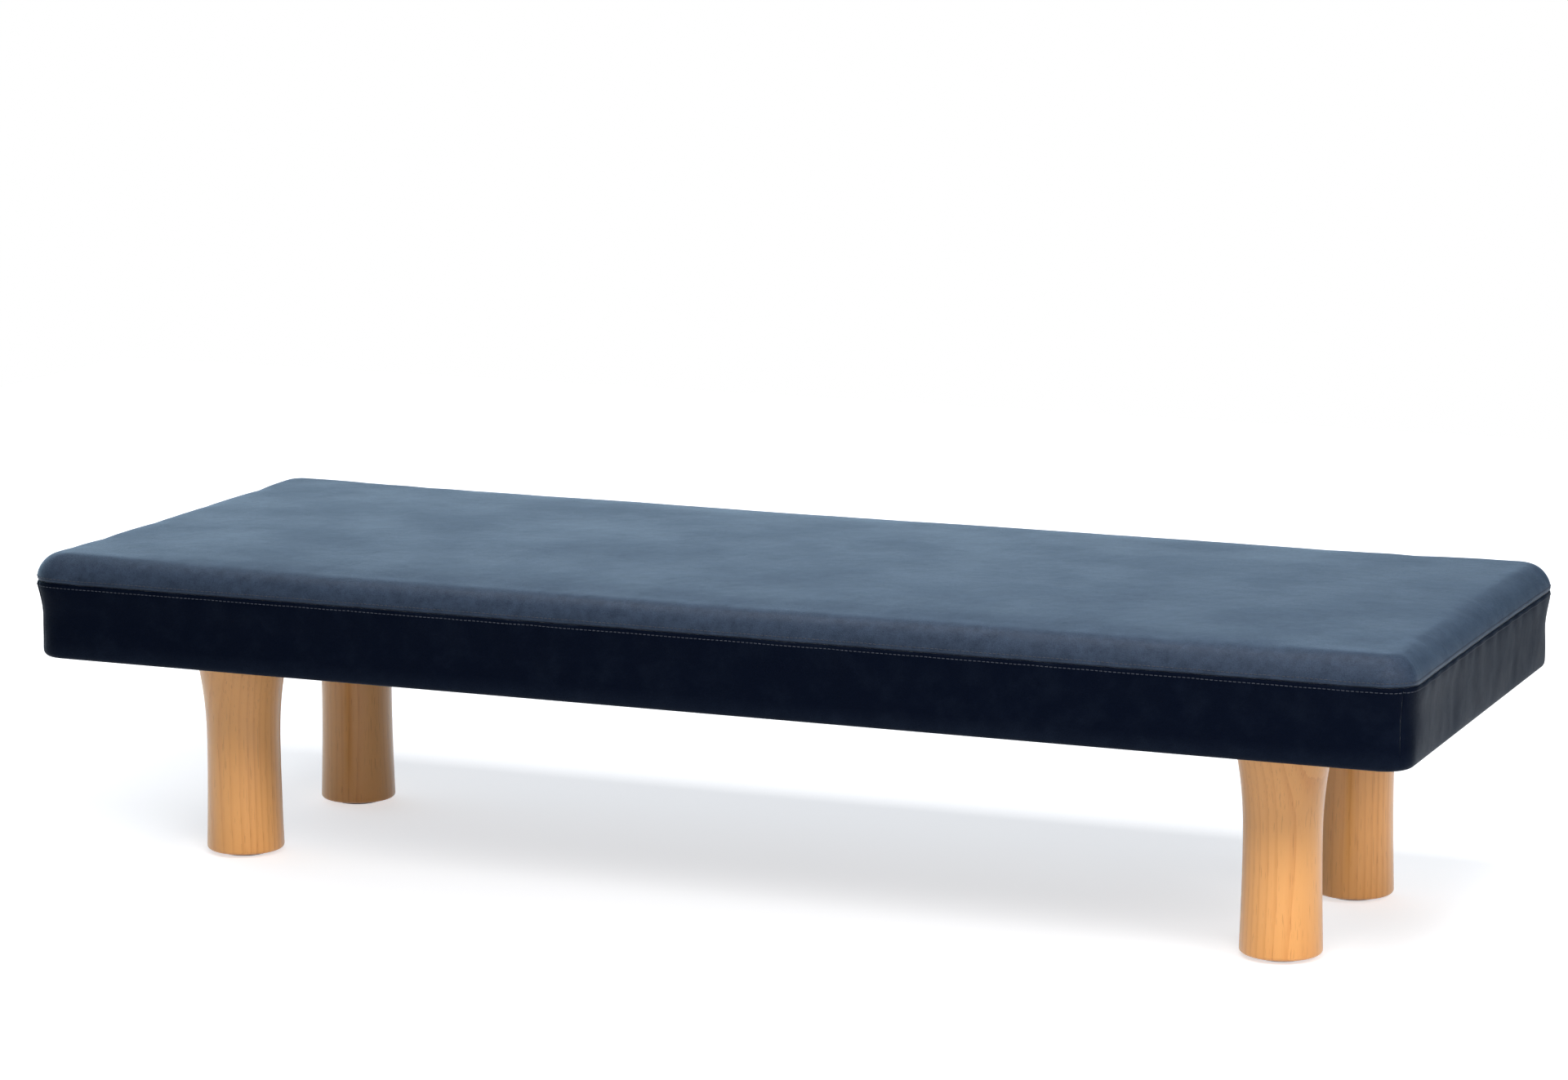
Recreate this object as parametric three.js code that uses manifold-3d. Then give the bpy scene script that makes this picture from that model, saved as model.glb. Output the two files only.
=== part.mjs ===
// Backless divan: a fixed upholstered slab on four stout turned legs.
// Millimetres. +X runs along the length, -Y is the front, +Z is up.
// The origin is on the floor under the middle of the slab.

import * as THREE from 'three';
import { mergeVertices } from 'three/addons/utils/BufferGeometryUtils.js';
import Module from 'manifold-3d';

const wasm = await Module();
wasm.setup();

// Driving sizes of the whole divan
const length = 1950;
const width = 755;
const undersideHeight = 296;
const edgeThickness = 144;
const crown = 10;
const clearance = 0.3;
const cutOverrun = 5;

// Upholstery, from the skin inwards
const leatherThickness = 1.4;
const waddingThickness = 8;
const cornerRadius = 46;
const upperEdgeRadius = 36;
const sideDrawIn = 6;
const topDrawIn = 3;
const hemReach = 18;
const dustClothThickness = 0.8;
const dustClothMargin = 5;
const baseClothThickness = 0.8;

// Timber frame
const railThickness = 27;
const railDepth = 60;
const tenonThickness = 10;
const tenonLength = 16;
const tenonShoulder = 8;
const bearerWidth = 150;
const bearerThickness = 27;
const bearerHousing = 7;
const stretcherDepth = 38;
const cornerBlockLeg = 62;
const cornerBlockDepth = 44;
const cornerBlockNose = 12;

// Webbing
const webbingWidth = 60;
const webbingThickness = 1.8;
const lengthwiseStraps = 5;
const crosswiseStraps = 13;
const webbingMargin = 8;
const weaveLead = 1.5;

// Legs
const legInsetFromEnd = 221;
const legInsetFromSide = 207;
const legShoulderRadius = 67;
const legWaistRadius = 51;
const legFootRadius = 54;
const legFootRounding = 5;
const legShoulderRounding = 3;

// Hanger bolts and tee nuts
const boltRadius = 5;
const boltInLeg = 55;
const boltPointLength = 8;
const boltAboveBearer = 7;
const boltEndChamfer = 1;
const teeBarrelRadius = 6.6;
const teeBarrelLength = 13;
const teeFlangeRadius = 15;
const teeFlangeThickness = 1.8;
const teeProngs = 4;
const teeProngWidth = 4;
const teeProngThickness = 1.4;
const teeProngLength = 8;
const teeProngCircleRadius = 12;

// Glides under the feet
const glideRadius = 34;
const glideThickness = 5;
const glideRounding = 1.5;
const glideNailRadius = 1.6;
const glideNailLength = 20;
const glideNailPoint = 3;

// Places worked out from the sizes above
const halfLength = length / 2;
const halfWidth = width / 2;
const edgeHeight = undersideHeight + edgeThickness;
const shoulderHeight = edgeHeight - upperEdgeRadius;
const sideBuild = leatherThickness + waddingThickness + 2 * clearance;
const hemRadius = sideBuild;
const frameInset = sideDrawIn + sideBuild;
const hemBottom = undersideHeight + dustClothThickness + clearance;
const railBottom = hemBottom + leatherThickness + clearance;
const railTop = railBottom + railDepth;
const frameHalfLength = halfLength - frameInset;
const frameHalfWidth = halfWidth - frameInset;
const innerHalfLength = frameHalfLength - railThickness;
const innerHalfWidth = frameHalfWidth - railThickness;
const bearerBottom = hemBottom;
const bearerTop = bearerBottom + bearerThickness;
const webbingMiddle = railTop + clearance + webbingThickness / 2;
const weaveRise = (webbingThickness + clearance) / 2;
const baseClothBottom = webbingMiddle + weaveRise + webbingThickness / 2 + clearance;
const foamBottom = baseClothBottom + baseClothThickness + clearance;
const legBottom = glideThickness + clearance;
const legTop = undersideHeight - clearance;
const legX = halfLength - legInsetFromEnd;
const legY = halfWidth - legInsetFromSide;
const boltTop = bearerTop + teeFlangeThickness + boltAboveBearer;

// Counts and shares that set how finely the curves are cut
const cornerFacets = 6;
const longSideFacets = 6;
const shortSideFacets = 3;
const edgeFacets = 5;
const hemFacets = 3;
const swellShares = [0, 0.35, 0.7];
const crownInwardShares = [0.15, 0.38, 0.7];
const legFacets = 20;
const boltFacets = 12;
const glideFacets = 16;

const leather = new THREE.MeshStandardMaterial({ color: 0x1a1d2a, roughness: 0.42 });
const honeyWood = new THREE.MeshStandardMaterial({ color: 0xd99a5e, roughness: 0.45 });
const frameWood = new THREE.MeshStandardMaterial({ color: 0xd8bc8c, roughness: 0.75 });
const zinc = new THREE.MeshStandardMaterial({ color: 0xb4b6b8, roughness: 0.4, metalness: 1 });
const nylon = new THREE.MeshStandardMaterial({ color: 0x2a2624, roughness: 0.6 });
const strapCloth = new THREE.MeshStandardMaterial({ color: 0x3a3732, roughness: 0.9 });
const hessian = new THREE.MeshStandardMaterial({ color: 0xa68a5c, roughness: 0.95 });
const foam = new THREE.MeshStandardMaterial({ color: 0xe9e3cf, roughness: 0.95 });
const fibre = new THREE.MeshStandardMaterial({ color: 0xf1f1ee, roughness: 0.95 });
const blackCloth = new THREE.MeshStandardMaterial({ color: 0x17171a, roughness: 0.95 });

const divan = new THREE.Group();

function addMesh(name, geometry, material, x = 0, y = 0, z = 0) {
  const mesh = new THREE.Mesh(geometry, material);
  mesh.name = name;
  mesh.position.set(x, y, z);
  divan.add(mesh);
  return mesh;
}

// Solids: merged vertices, no collapsed triangles, faces turned outwards

function closedSolid(positions, triangles) {
  const raw = new THREE.BufferGeometry();
  raw.setAttribute('position', new THREE.Float32BufferAttribute(positions, 3));
  raw.setIndex(triangles);
  return tidySolid(raw);
}

function tidySolid(geometry) {
  geometry.deleteAttribute('normal');
  geometry.deleteAttribute('uv');
  const merged = mergeVertices(geometry);
  const at = merged.attributes.position;
  const corners = [new THREE.Vector3(), new THREE.Vector3(), new THREE.Vector3()];
  const kept = [];
  let volume = 0;
  for (let i = 0; i < merged.index.count; i += 3) {
    const ids = [0, 1, 2].map((k) => merged.index.getX(i + k));
    if (new Set(ids).size < 3) continue;
    ids.forEach((id, k) => corners[k].fromBufferAttribute(at, id));
    volume += corners[0].dot(corners[1].clone().cross(corners[2]));
    kept.push(ids);
  }
  if (volume < 0) kept.forEach((ids) => ids.reverse());
  merged.setIndex(kept.flat());
  return merged;
}

function toManifold(geometry) {
  const tidy = tidySolid(geometry);
  const vertProperties = new Float32Array(tidy.attributes.position.array);
  const triVerts = new Uint32Array(tidy.index.array);
  return new wasm.Manifold(new wasm.Mesh({ numProp: 3, vertProperties, triVerts }));
}

function fromManifold(solid) {
  const mesh = solid.getMesh();
  return closedSolid(Array.from(mesh.vertProperties), Array.from(mesh.triVerts));
}

// A block given by its middle in plan, its underside and its three sizes
function block(sizeX, sizeY, sizeZ, x, y, bottom) {
  const geometry = new THREE.BoxGeometry(sizeX, sizeY, sizeZ);
  geometry.translate(x, y, bottom + sizeZ / 2);
  return toManifold(geometry);
}

// A revolved piece about +Z: outline points are [radius, height]
function revolved(outline, facets) {
  const points = outline.map(([radius, height]) => new THREE.Vector2(radius, height));
  const geometry = new THREE.LatheGeometry(points, facets);
  geometry.rotateX(Math.PI / 2);
  return tidySolid(geometry);
}

// An arc as outline points, angles in quarter turns
function arcPoints(centreRadius, centreHeight, radius, fromQuarter, toQuarter, facets) {
  return Array.from({ length: facets + 1 }, (_, i) => {
    const angle = (fromQuarter + ((toQuarter - fromQuarter) * i) / facets) * (Math.PI / 2);
    return [centreRadius + radius * Math.cos(angle), centreHeight + radius * Math.sin(angle)];
  });
}

// The plan outline of the slab at its widest, anticlockwise from above.
// Corners are numbered 0 (+x +y), 1 (-x +y), 2 (-x -y) and 3 (+x -y).
// Each sample has its place, its outward direction and how far along a side it is (bow).

function cornerSamples(corner, fromShare, toShare, facets) {
  const signX = corner === 0 || corner === 3 ? 1 : -1;
  const signY = corner < 2 ? 1 : -1;
  return Array.from({ length: facets + 1 }, (_, i) => {
    const share = fromShare + ((toShare - fromShare) * i) / facets;
    const angle = (corner + share) * (Math.PI / 2);
    const out = new THREE.Vector2(Math.cos(angle), Math.sin(angle));
    const x = signX * (halfLength - cornerRadius) + cornerRadius * out.x;
    const y = signY * (halfWidth - cornerRadius) + cornerRadius * out.y;
    return { x, y, out, bow: 0 };
  });
}

function sideSamples(corner) {
  const [start] = cornerSamples(corner, 1, 1, 1);
  const [end] = cornerSamples((corner + 1) % 4, 0, 0, 1);
  const facets = corner % 2 === 0 ? longSideFacets : shortSideFacets;
  return Array.from({ length: facets - 1 }, (_, i) => {
    const share = (i + 1) / facets;
    const x = THREE.MathUtils.lerp(start.x, end.x, share);
    const y = THREE.MathUtils.lerp(start.y, end.y, share);
    return { x, y, out: start.out, bow: 4 * share * (1 - share) };
  });
}

function wholeOutline() {
  return [0, 1, 2, 3].flatMap((corner) => [
    ...cornerSamples(corner, 0, 1, cornerFacets),
    ...sideSamples(corner),
  ]);
}

// Steps of the slab's section. Each has its inset from the widest line, its height,
// its rise (0 at the frame, 1 at the upper edge) and its share of the way to the ridge.

function riseAt(height) {
  return THREE.MathUtils.smoothstep(height, railTop, shoulderHeight);
}

function sideStep(depth, height) {
  const rise = riseAt(height);
  return { inset: depth + sideDrawIn * (1 - rise), height, rise, inward: 0 };
}

const swellHeights = swellShares.map((share) => THREE.MathUtils.lerp(railTop, shoulderHeight, share));

function sideSteps(depth, fromHeight) {
  const above = swellHeights.filter((height) => height > fromHeight);
  return [fromHeight, ...above].map((height) => sideStep(depth, height));
}

function upperEdgeSteps(depth) {
  const radius = upperEdgeRadius - depth;
  return arcPoints(0, 0, radius, 0, 1, edgeFacets).map(([across, up]) => ({
    inset: upperEdgeRadius - across,
    height: shoulderHeight + up,
    rise: 1,
    inward: 0,
  }));
}

function crownSteps(depth) {
  const fullShare = crownInwardShares.at(-1);
  return crownInwardShares.map((inward) => ({
    inset: upperEdgeRadius,
    height: edgeHeight - depth + crown * (1 - (1 - inward / fullShare) ** 2),
    rise: 1,
    inward,
  }));
}

function hemSteps(depth) {
  const centreInset = sideDrawIn + hemRadius;
  const arc = arcPoints(centreInset, hemBottom + hemRadius, hemRadius - depth, -1, -2, hemFacets);
  const turned = [[centreInset + hemReach, hemBottom + depth], ...arc];
  return turned.map(([inset, height]) => ({ inset, height, rise: 0, inward: 0 }));
}

function pointAt(sample, step) {
  const inset = step.inset + topDrawIn * step.rise * sample.bow;
  const x = sample.x - sample.out.x * inset;
  const y = sample.y - sample.out.y * inset;
  const ridgeX = THREE.MathUtils.clamp(x, halfWidth - halfLength, halfLength - halfWidth);
  return [
    THREE.MathUtils.lerp(x, ridgeX, step.inward),
    THREE.MathUtils.lerp(y, 0, step.inward),
    step.height,
  ];
}

// Two triangles for a quad p q r s, whose p and q are neighbours on the first row or column.
// Skins that lie on each other cut their twisted quads along the same diagonal,
// from low on the left to high on the right.
function quadTriangles([p, q, r, s], rising) {
  return rising ? [p, q, r, p, r, s] : [p, q, s, q, r, s];
}

// A solid of stacked closed rings, its first and last ring closed by flat caps
function stackedRings(samples, steps) {
  const around = samples.length;
  const positions = steps.flatMap((step) => samples.flatMap((sample) => pointAt(sample, step)));
  const triangles = [];
  for (let ring = 0; ring < steps.length - 1; ring++) {
    const rising = steps[ring + 1].height >= steps[ring].height;
    for (let i = 0; i < around; i++) {
      const [a, b] = [ring * around + i, ring * around + ((i + 1) % around)];
      triangles.push(...quadTriangles([a, b, b + around, a + around], rising));
    }
  }
  for (const ring of [0, steps.length - 1]) {
    const middle = positions.length / 3;
    positions.push(0, 0, steps[ring].height);
    for (let i = 0; i < around; i++) {
      const pair = [ring * around + i, ring * around + ((i + 1) % around)];
      triangles.push(middle, ...(ring === 0 ? pair.reverse() : pair));
    }
  }
  return closedSolid(positions, triangles);
}

// A bent strip: the closed section goes up its outer steps and down its inner ones
function bentStrip(samples, outerSteps, innerSteps) {
  const loop = [...outerSteps, ...[...innerSteps].reverse()];
  const positions = samples.flatMap((sample) => loop.flatMap((step) => pointAt(sample, step)));
  const triangles = [];
  for (let i = 0; i < samples.length - 1; i++) {
    for (let k = 0; k < loop.length; k++) {
      const next = (k + 1) % loop.length;
      const rising = loop[next].height >= loop[k].height;
      const [a, b] = [i * loop.length + k, i * loop.length + next];
      triangles.push(...quadTriangles([a, b, b + loop.length, a + loop.length], rising));
    }
  }
  for (const first of [0, (samples.length - 1) * loop.length]) {
    for (let k = 0; k < outerSteps.length - 1; k++) {
      const [low, high] = [first + k, first + k + 1];
      const [innerLow, innerHigh] = [first + loop.length - 1 - k, first + loop.length - 2 - k];
      const pair = [low, high, innerHigh, low, innerHigh, innerLow];
      triangles.push(...(first === 0 ? pair.reverse() : pair));
    }
  }
  return closedSolid(positions, triangles);
}

// A flat sheet or prism with the slab's plan, inset from the widest line
function planPrism(inset, bottom, thickness) {
  const step = { inset, height: bottom, rise: 0, inward: 0 };
  const outline = wholeOutline().map((sample) => pointAt(sample, step));
  const shape = new THREE.Shape(outline.map(([x, y]) => new THREE.Vector2(x, y)));
  const geometry = new THREE.ExtrudeGeometry(shape, { depth: thickness, bevelEnabled: false });
  geometry.translate(0, 0, bottom);
  return toManifold(geometry);
}

// Legs, glides, hanger bolts and tee nuts at the four places

const legPlaces = [
  { place: 'front_left', x: -legX, y: -legY },
  { place: 'front_right', x: legX, y: -legY },
  { place: 'rear_left', x: -legX, y: legY },
  { place: 'rear_right', x: legX, y: legY },
];

// The leg stays nearly straight up to its waist and swells in a hollow curve to its shoulder
function legGeometry() {
  const height = legTop - legBottom;
  const waistShares = [0.15, 0.35, 0.52];
  const flareShares = [0.2, 0.4, 0.6, 0.8];
  const waistHeight = height * waistShares.at(-1);
  const flareTop = height - legShoulderRounding;
  const shank = waistShares.map((share) => [
    THREE.MathUtils.lerp(legFootRadius, legWaistRadius, Math.sin((share / waistShares.at(-1)) * (Math.PI / 2))),
    height * share,
  ]);
  const flare = flareShares.map((share) => [
    legWaistRadius + (legShoulderRadius - legWaistRadius) * share ** 2.2,
    THREE.MathUtils.lerp(waistHeight, flareTop, share),
  ]);
  const foot = arcPoints(legFootRadius - legFootRounding, legFootRounding, legFootRounding, -1, 0, 3);
  const shoulder = arcPoints(
    legShoulderRadius - legShoulderRounding, flareTop, legShoulderRounding, 0, 1, 2);
  const nailBore = glideNailRadius + clearance;
  const nailDepth = glideThickness + glideNailLength + clearance - legBottom;
  const boltBore = boltRadius + clearance;
  const boltDepth = height - boltInLeg - clearance;
  return revolved([
    [0, nailDepth], [nailBore, nailDepth], [nailBore, 0],
    ...foot, ...shank, ...flare, ...shoulder,
    [boltBore, height], [boltBore, boltDepth], [0, boltDepth],
  ], legFacets);
}

function glideGeometry() {
  return revolved([
    [0, 0],
    ...arcPoints(glideRadius - glideRounding, glideRounding, glideRounding, -1, 0, 2),
    [glideRadius, glideThickness],
    [glideNailRadius, glideThickness],
    [glideNailRadius, glideThickness + glideNailLength - glideNailPoint],
    [0, glideThickness + glideNailLength],
  ], glideFacets);
}

function hangerBoltGeometry() {
  const bottom = legTop - boltInLeg;
  return revolved([
    [0, bottom],
    [boltRadius, bottom + boltPointLength],
    [boltRadius, boltTop - boltEndChamfer],
    [boltRadius - boltEndChamfer, boltTop],
    [0, boltTop],
  ], boltFacets);
}

// The prongs of a tee nut, or with grow their slots in the bearer
function teeProngSet(x, y, grow) {
  const prongs = Array.from({ length: teeProngs }, (_, i) => {
    const geometry = new THREE.BoxGeometry(
      teeProngThickness + 2 * grow, teeProngWidth + 2 * grow, teeProngLength + teeFlangeThickness / 2 + grow);
    geometry.translate(teeProngCircleRadius, 0, (teeFlangeThickness / 2 - teeProngLength - grow) / 2);
    geometry.rotateZ((i + 0.5) * ((2 * Math.PI) / teeProngs));
    geometry.translate(x, y, bearerTop + clearance);
    return toManifold(geometry);
  });
  return prongs.reduce((sum, prong) => sum.add(prong));
}

function teeNutGeometry() {
  const seat = bearerTop + clearance;
  const bore = boltRadius + clearance;
  const body = revolved([
    [bore, seat - teeBarrelLength],
    [teeBarrelRadius, seat - teeBarrelLength],
    [teeBarrelRadius, seat],
    [teeFlangeRadius, seat],
    [teeFlangeRadius, seat + teeFlangeThickness],
    [bore, seat + teeFlangeThickness],
    [bore, seat - teeBarrelLength],
  ], boltFacets);
  return fromManifold(toManifold(body).add(teeProngSet(0, 0, 0)));
}

for (const { place, x, y } of legPlaces) {
  addMesh(`leg_${place}`, legGeometry(), honeyWood, x, y, legBottom);
  addMesh(`glide_${place}`, glideGeometry(), nylon, x, y);
  addMesh(`hanger_bolt_${place}`, hangerBoltGeometry(), zinc, x, y);
  addMesh(`tee_nut_${place}`, teeNutGeometry(), zinc, x, y);
}

// Timber frame: end rails and the stretcher are tenoned into the side rails,
// and the leg bearers are housed in them

const tenonDepth = railDepth - 2 * tenonShoulder;
const stretcherTenonDepth = stretcherDepth - 2 * tenonShoulder;
const frameOutline = planPrism(frameInset, railBottom, railDepth);

// Tenons at both ends of a rail that runs along Y, or with grow their mortises
function tenonPair(x, bottom, depth, grow) {
  const run = 2 * (innerHalfWidth + tenonLength + grow);
  return block(tenonThickness + 2 * grow, run, depth + 2 * grow, x, 0, bottom - grow);
}

function bearerBlock(signX, grow) {
  const run = 2 * (innerHalfWidth + bearerHousing - clearance + grow);
  return block(bearerWidth + 2 * grow, run, bearerThickness + grow, signX * legX, 0, bearerBottom);
}

function sideRailGeometry(signY) {
  const middleY = signY * (frameHalfWidth - railThickness / 2);
  const blank = block(length, railThickness, railDepth, 0, middleY, railBottom);
  let rail = blank.intersect(frameOutline);
  for (const signX of [-1, 1]) {
    const tenonX = signX * (frameHalfLength - railThickness / 2);
    rail = rail.subtract(tenonPair(tenonX, railBottom + tenonShoulder, tenonDepth, clearance));
    rail = rail.subtract(bearerBlock(signX, clearance));
  }
  return fromManifold(rail.subtract(tenonPair(0, railBottom + tenonShoulder, stretcherTenonDepth, clearance)));
}

function endRailGeometry(signX) {
  const middleX = signX * (frameHalfLength - railThickness / 2);
  const run = 2 * (innerHalfWidth - clearance);
  const body = block(railThickness, run, railDepth, middleX, 0, railBottom).intersect(frameOutline);
  return fromManifold(body.add(tenonPair(middleX, railBottom + tenonShoulder, tenonDepth, 0)));
}

function stretcherGeometry() {
  const run = 2 * (innerHalfWidth - clearance);
  const body = block(railThickness, run, stretcherDepth, 0, 0, railBottom);
  return fromManifold(body.add(tenonPair(0, railBottom + tenonShoulder, stretcherTenonDepth, 0)));
}

// Each bearer has two holes for tee nut barrels and the slots of their prongs
function bearerGeometry(signX) {
  let bearer = bearerBlock(signX, 0);
  for (const signY of [-1, 1]) {
    const hole = new THREE.CylinderGeometry(
      teeBarrelRadius + clearance, teeBarrelRadius + clearance, bearerThickness + 2 * cutOverrun, boltFacets);
    hole.rotateX(Math.PI / 2);
    hole.rotateZ(Math.PI / 2);
    hole.translate(signX * legX, signY * legY, bearerBottom + bearerThickness / 2);
    bearer = bearer.subtract(toManifold(hole));
    bearer = bearer.subtract(teeProngSet(signX * legX, signY * legY, clearance));
  }
  return fromManifold(bearer);
}

// A glued block across an inner corner, its long face cut square at both noses
function cornerBlockGeometry(signX, signY) {
  const reach = cornerBlockLeg;
  const nose = cornerBlockNose;
  const shape = new THREE.Shape([[0, 0], [reach, 0], [reach, nose], [nose, reach], [0, reach]]
    .map(([along, across]) => new THREE.Vector2(along, across)));
  const geometry = new THREE.ExtrudeGeometry(shape, { depth: cornerBlockDepth, bevelEnabled: false });
  geometry.scale(-signX, -signY, 1);
  geometry.translate(signX * (innerHalfLength - clearance), signY * (innerHalfWidth - clearance), railBottom);
  return tidySolid(geometry);
}

addMesh('side_rail_front', sideRailGeometry(-1), frameWood);
addMesh('side_rail_rear', sideRailGeometry(1), frameWood);
addMesh('end_rail_left', endRailGeometry(-1), frameWood);
addMesh('end_rail_right', endRailGeometry(1), frameWood);
addMesh('centre_stretcher', stretcherGeometry(), frameWood);
addMesh('leg_bearer_left', bearerGeometry(-1), frameWood);
addMesh('leg_bearer_right', bearerGeometry(1), frameWood);
for (const [side, signX] of [['left', -1], ['right', 1]]) {
  for (const [row, signY] of [['front', -1], ['rear', 1]]) {
    addMesh(`corner_block_${row}_${side}`, cornerBlockGeometry(signX, signY), frameWood);
  }
}

// Woven webbing: straps lie flat on the rails and pass over and under each other between them

const lengthwisePitch = (2 * innerHalfWidth) / lengthwiseStraps;
const crosswisePitch = (2 * innerHalfLength) / crosswiseStraps;

function strapPlaces(count, pitch) {
  return Array.from({ length: count }, (_, i) => (i - (count - 1) / 2) * pitch);
}

// The strap's side view, as points along its run; firstRise is 1 where it starts over, -1 under
function strapGeometry(halfRun, halfClear, crossings, firstRise) {
  const flat = webbingWidth / 2 + weaveLead;
  const waves = crossings.flatMap((place, i) => {
    const rise = firstRise * (i % 2 === 0 ? weaveRise : -weaveRise);
    return [[place - flat, rise], [place + flat, rise]];
  });
  const middle = [[-halfRun, 0], [-halfClear, 0], ...waves, [halfClear, 0], [halfRun, 0]];
  const half = webbingThickness / 2;
  const under = middle.map(([run, rise]) => new THREE.Vector2(run, rise - half));
  const over = middle.map(([run, rise]) => new THREE.Vector2(run, rise + half)).reverse();
  const shape = new THREE.Shape([...under, ...over]);
  const geometry = new THREE.ExtrudeGeometry(shape, { depth: webbingWidth, bevelEnabled: false });
  geometry.translate(0, 0, -webbingWidth / 2);
  geometry.rotateX(Math.PI / 2);
  return tidySolid(geometry);
}

const lengthwisePlaces = strapPlaces(lengthwiseStraps, lengthwisePitch);
const crosswisePlaces = strapPlaces(crosswiseStraps, crosswisePitch);

lengthwisePlaces.forEach((y, i) => {
  const firstRise = i % 2 === 0 ? 1 : -1;
  const halfRun = frameHalfLength - webbingMargin;
  const strap = strapGeometry(halfRun, innerHalfLength, crosswisePlaces, firstRise);
  addMesh(`webbing_lengthwise_${i + 1}`, strap, strapCloth, 0, y, webbingMiddle);
});

crosswisePlaces.forEach((x, i) => {
  const firstRise = i % 2 === 0 ? -1 : 1;
  const halfRun = frameHalfWidth - webbingMargin;
  const strap = strapGeometry(halfRun, innerHalfWidth, lengthwisePlaces, firstRise);
  strap.rotateZ(Math.PI / 2);
  addMesh(`webbing_crosswise_${i + 1}`, strap, strapCloth, x, 0, webbingMiddle);
});

// Soft build-up: base cloth, foam, wadding and the leather cover

const outline = wholeOutline();

// The pad's steps from a height on its side, over its upper edge, to its flat middle
function padSteps(depth, fromHeight) {
  return [...sideSteps(depth, fromHeight), ...upperEdgeSteps(depth), ...crownSteps(depth)];
}

// A cap over the pad with a wall between two depths, open below
function padShell(outerDepth, innerDepth, fromHeight) {
  const outer = padSteps(outerDepth, fromHeight);
  const inner = padSteps(innerDepth, fromHeight).reverse();
  return stackedRings(outline, [...inner, ...outer]);
}

const waddingDepth = leatherThickness + clearance;
const foamDepth = sideBuild;
const waddingFoot = hemBottom + hemRadius;
const seamHeight = shoulderHeight;

addMesh('base_cloth', fromManifold(planPrism(frameInset + webbingMargin, baseClothBottom, baseClothThickness)), hessian);
addMesh('foam_core', stackedRings(outline, padSteps(foamDepth, foamBottom)), foam);
addMesh('wadding', padShell(waddingDepth, waddingDepth + waddingThickness, waddingFoot), fibre);

// The top panel starts at the seam, where the upper edge begins to turn over
function topPanel() {
  const outer = [...upperEdgeSteps(0), ...crownSteps(0)];
  const inner = [...upperEdgeSteps(leatherThickness), ...crownSteps(leatherThickness)].reverse();
  return stackedRings(outline, [...inner, ...outer]);
}

// A side panel runs from the middle of one corner to the middle of the next, and turns under the frame
function sidePanel(corner) {
  const halfSeamShare = clearance / (Math.PI * (cornerRadius - sideDrawIn - hemRadius));
  const next = (corner + 1) % 4;
  const samples = [
    ...cornerSamples(corner, 0.5 + halfSeamShare, 1, cornerFacets / 2),
    ...sideSamples(corner),
    ...cornerSamples(next, 0, 0.5 - halfSeamShare, cornerFacets / 2),
  ];
  const panelTop = seamHeight - clearance;
  const stepsAt = (depth) => [
    ...hemSteps(depth),
    ...sideSteps(depth, railTop),
    sideStep(depth, panelTop),
  ];
  return bentStrip(samples, stepsAt(0), stepsAt(leatherThickness));
}

addMesh('cover_top', topPanel(), leather);
addMesh('cover_rear', sidePanel(0), leather);
addMesh('cover_left', sidePanel(1), leather);
addMesh('cover_front', sidePanel(2), leather);
addMesh('cover_right', sidePanel(3), leather);

// The dust cloth closes the underside and is pierced by the four bolts
function dustClothGeometry() {
  let cloth = planPrism(sideDrawIn + hemRadius + dustClothMargin, undersideHeight, dustClothThickness);
  for (const { x, y } of legPlaces) {
    const hole = new THREE.CylinderGeometry(
      boltRadius + clearance, boltRadius + clearance, dustClothThickness + 2 * cutOverrun, boltFacets);
    hole.rotateX(Math.PI / 2);
    hole.translate(x, y, undersideHeight + dustClothThickness / 2);
    cloth = cloth.subtract(toManifold(hole));
  }
  return fromManifold(cloth);
}

addMesh('dust_cloth', dustClothGeometry(), blackCloth);

export default divan;
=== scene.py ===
"""A backless divan: a leather slab over a webbed timber frame, on four turned legs."""

import math

import bmesh
import bpy
from bpy.props import FloatProperty, FloatVectorProperty, IntProperty, PointerProperty
from mathutils import Matrix, Vector, noise


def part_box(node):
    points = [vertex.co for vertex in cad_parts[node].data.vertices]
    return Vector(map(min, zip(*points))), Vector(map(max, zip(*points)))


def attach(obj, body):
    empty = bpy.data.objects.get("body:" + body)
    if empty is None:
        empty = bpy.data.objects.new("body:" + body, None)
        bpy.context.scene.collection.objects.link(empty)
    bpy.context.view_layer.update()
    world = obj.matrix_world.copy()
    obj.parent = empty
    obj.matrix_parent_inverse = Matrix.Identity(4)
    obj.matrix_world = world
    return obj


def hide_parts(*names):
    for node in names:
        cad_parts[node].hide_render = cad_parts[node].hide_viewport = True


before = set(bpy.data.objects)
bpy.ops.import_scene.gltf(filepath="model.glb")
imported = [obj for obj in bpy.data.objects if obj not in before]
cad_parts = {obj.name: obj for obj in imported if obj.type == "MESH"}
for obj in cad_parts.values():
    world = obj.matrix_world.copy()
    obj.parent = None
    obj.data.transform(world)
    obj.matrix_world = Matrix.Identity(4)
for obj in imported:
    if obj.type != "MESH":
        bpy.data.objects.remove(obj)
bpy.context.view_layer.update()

bl_info = {
    "name": "Backless divan",
    "version": (1, 0, 0),
    "blender": (4, 5, 0),
    "location": "3D View > Sidebar > Divan",
    "description": "Leather slab on a webbed timber frame with four turned legs",
    "category": "Object",
}

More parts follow.
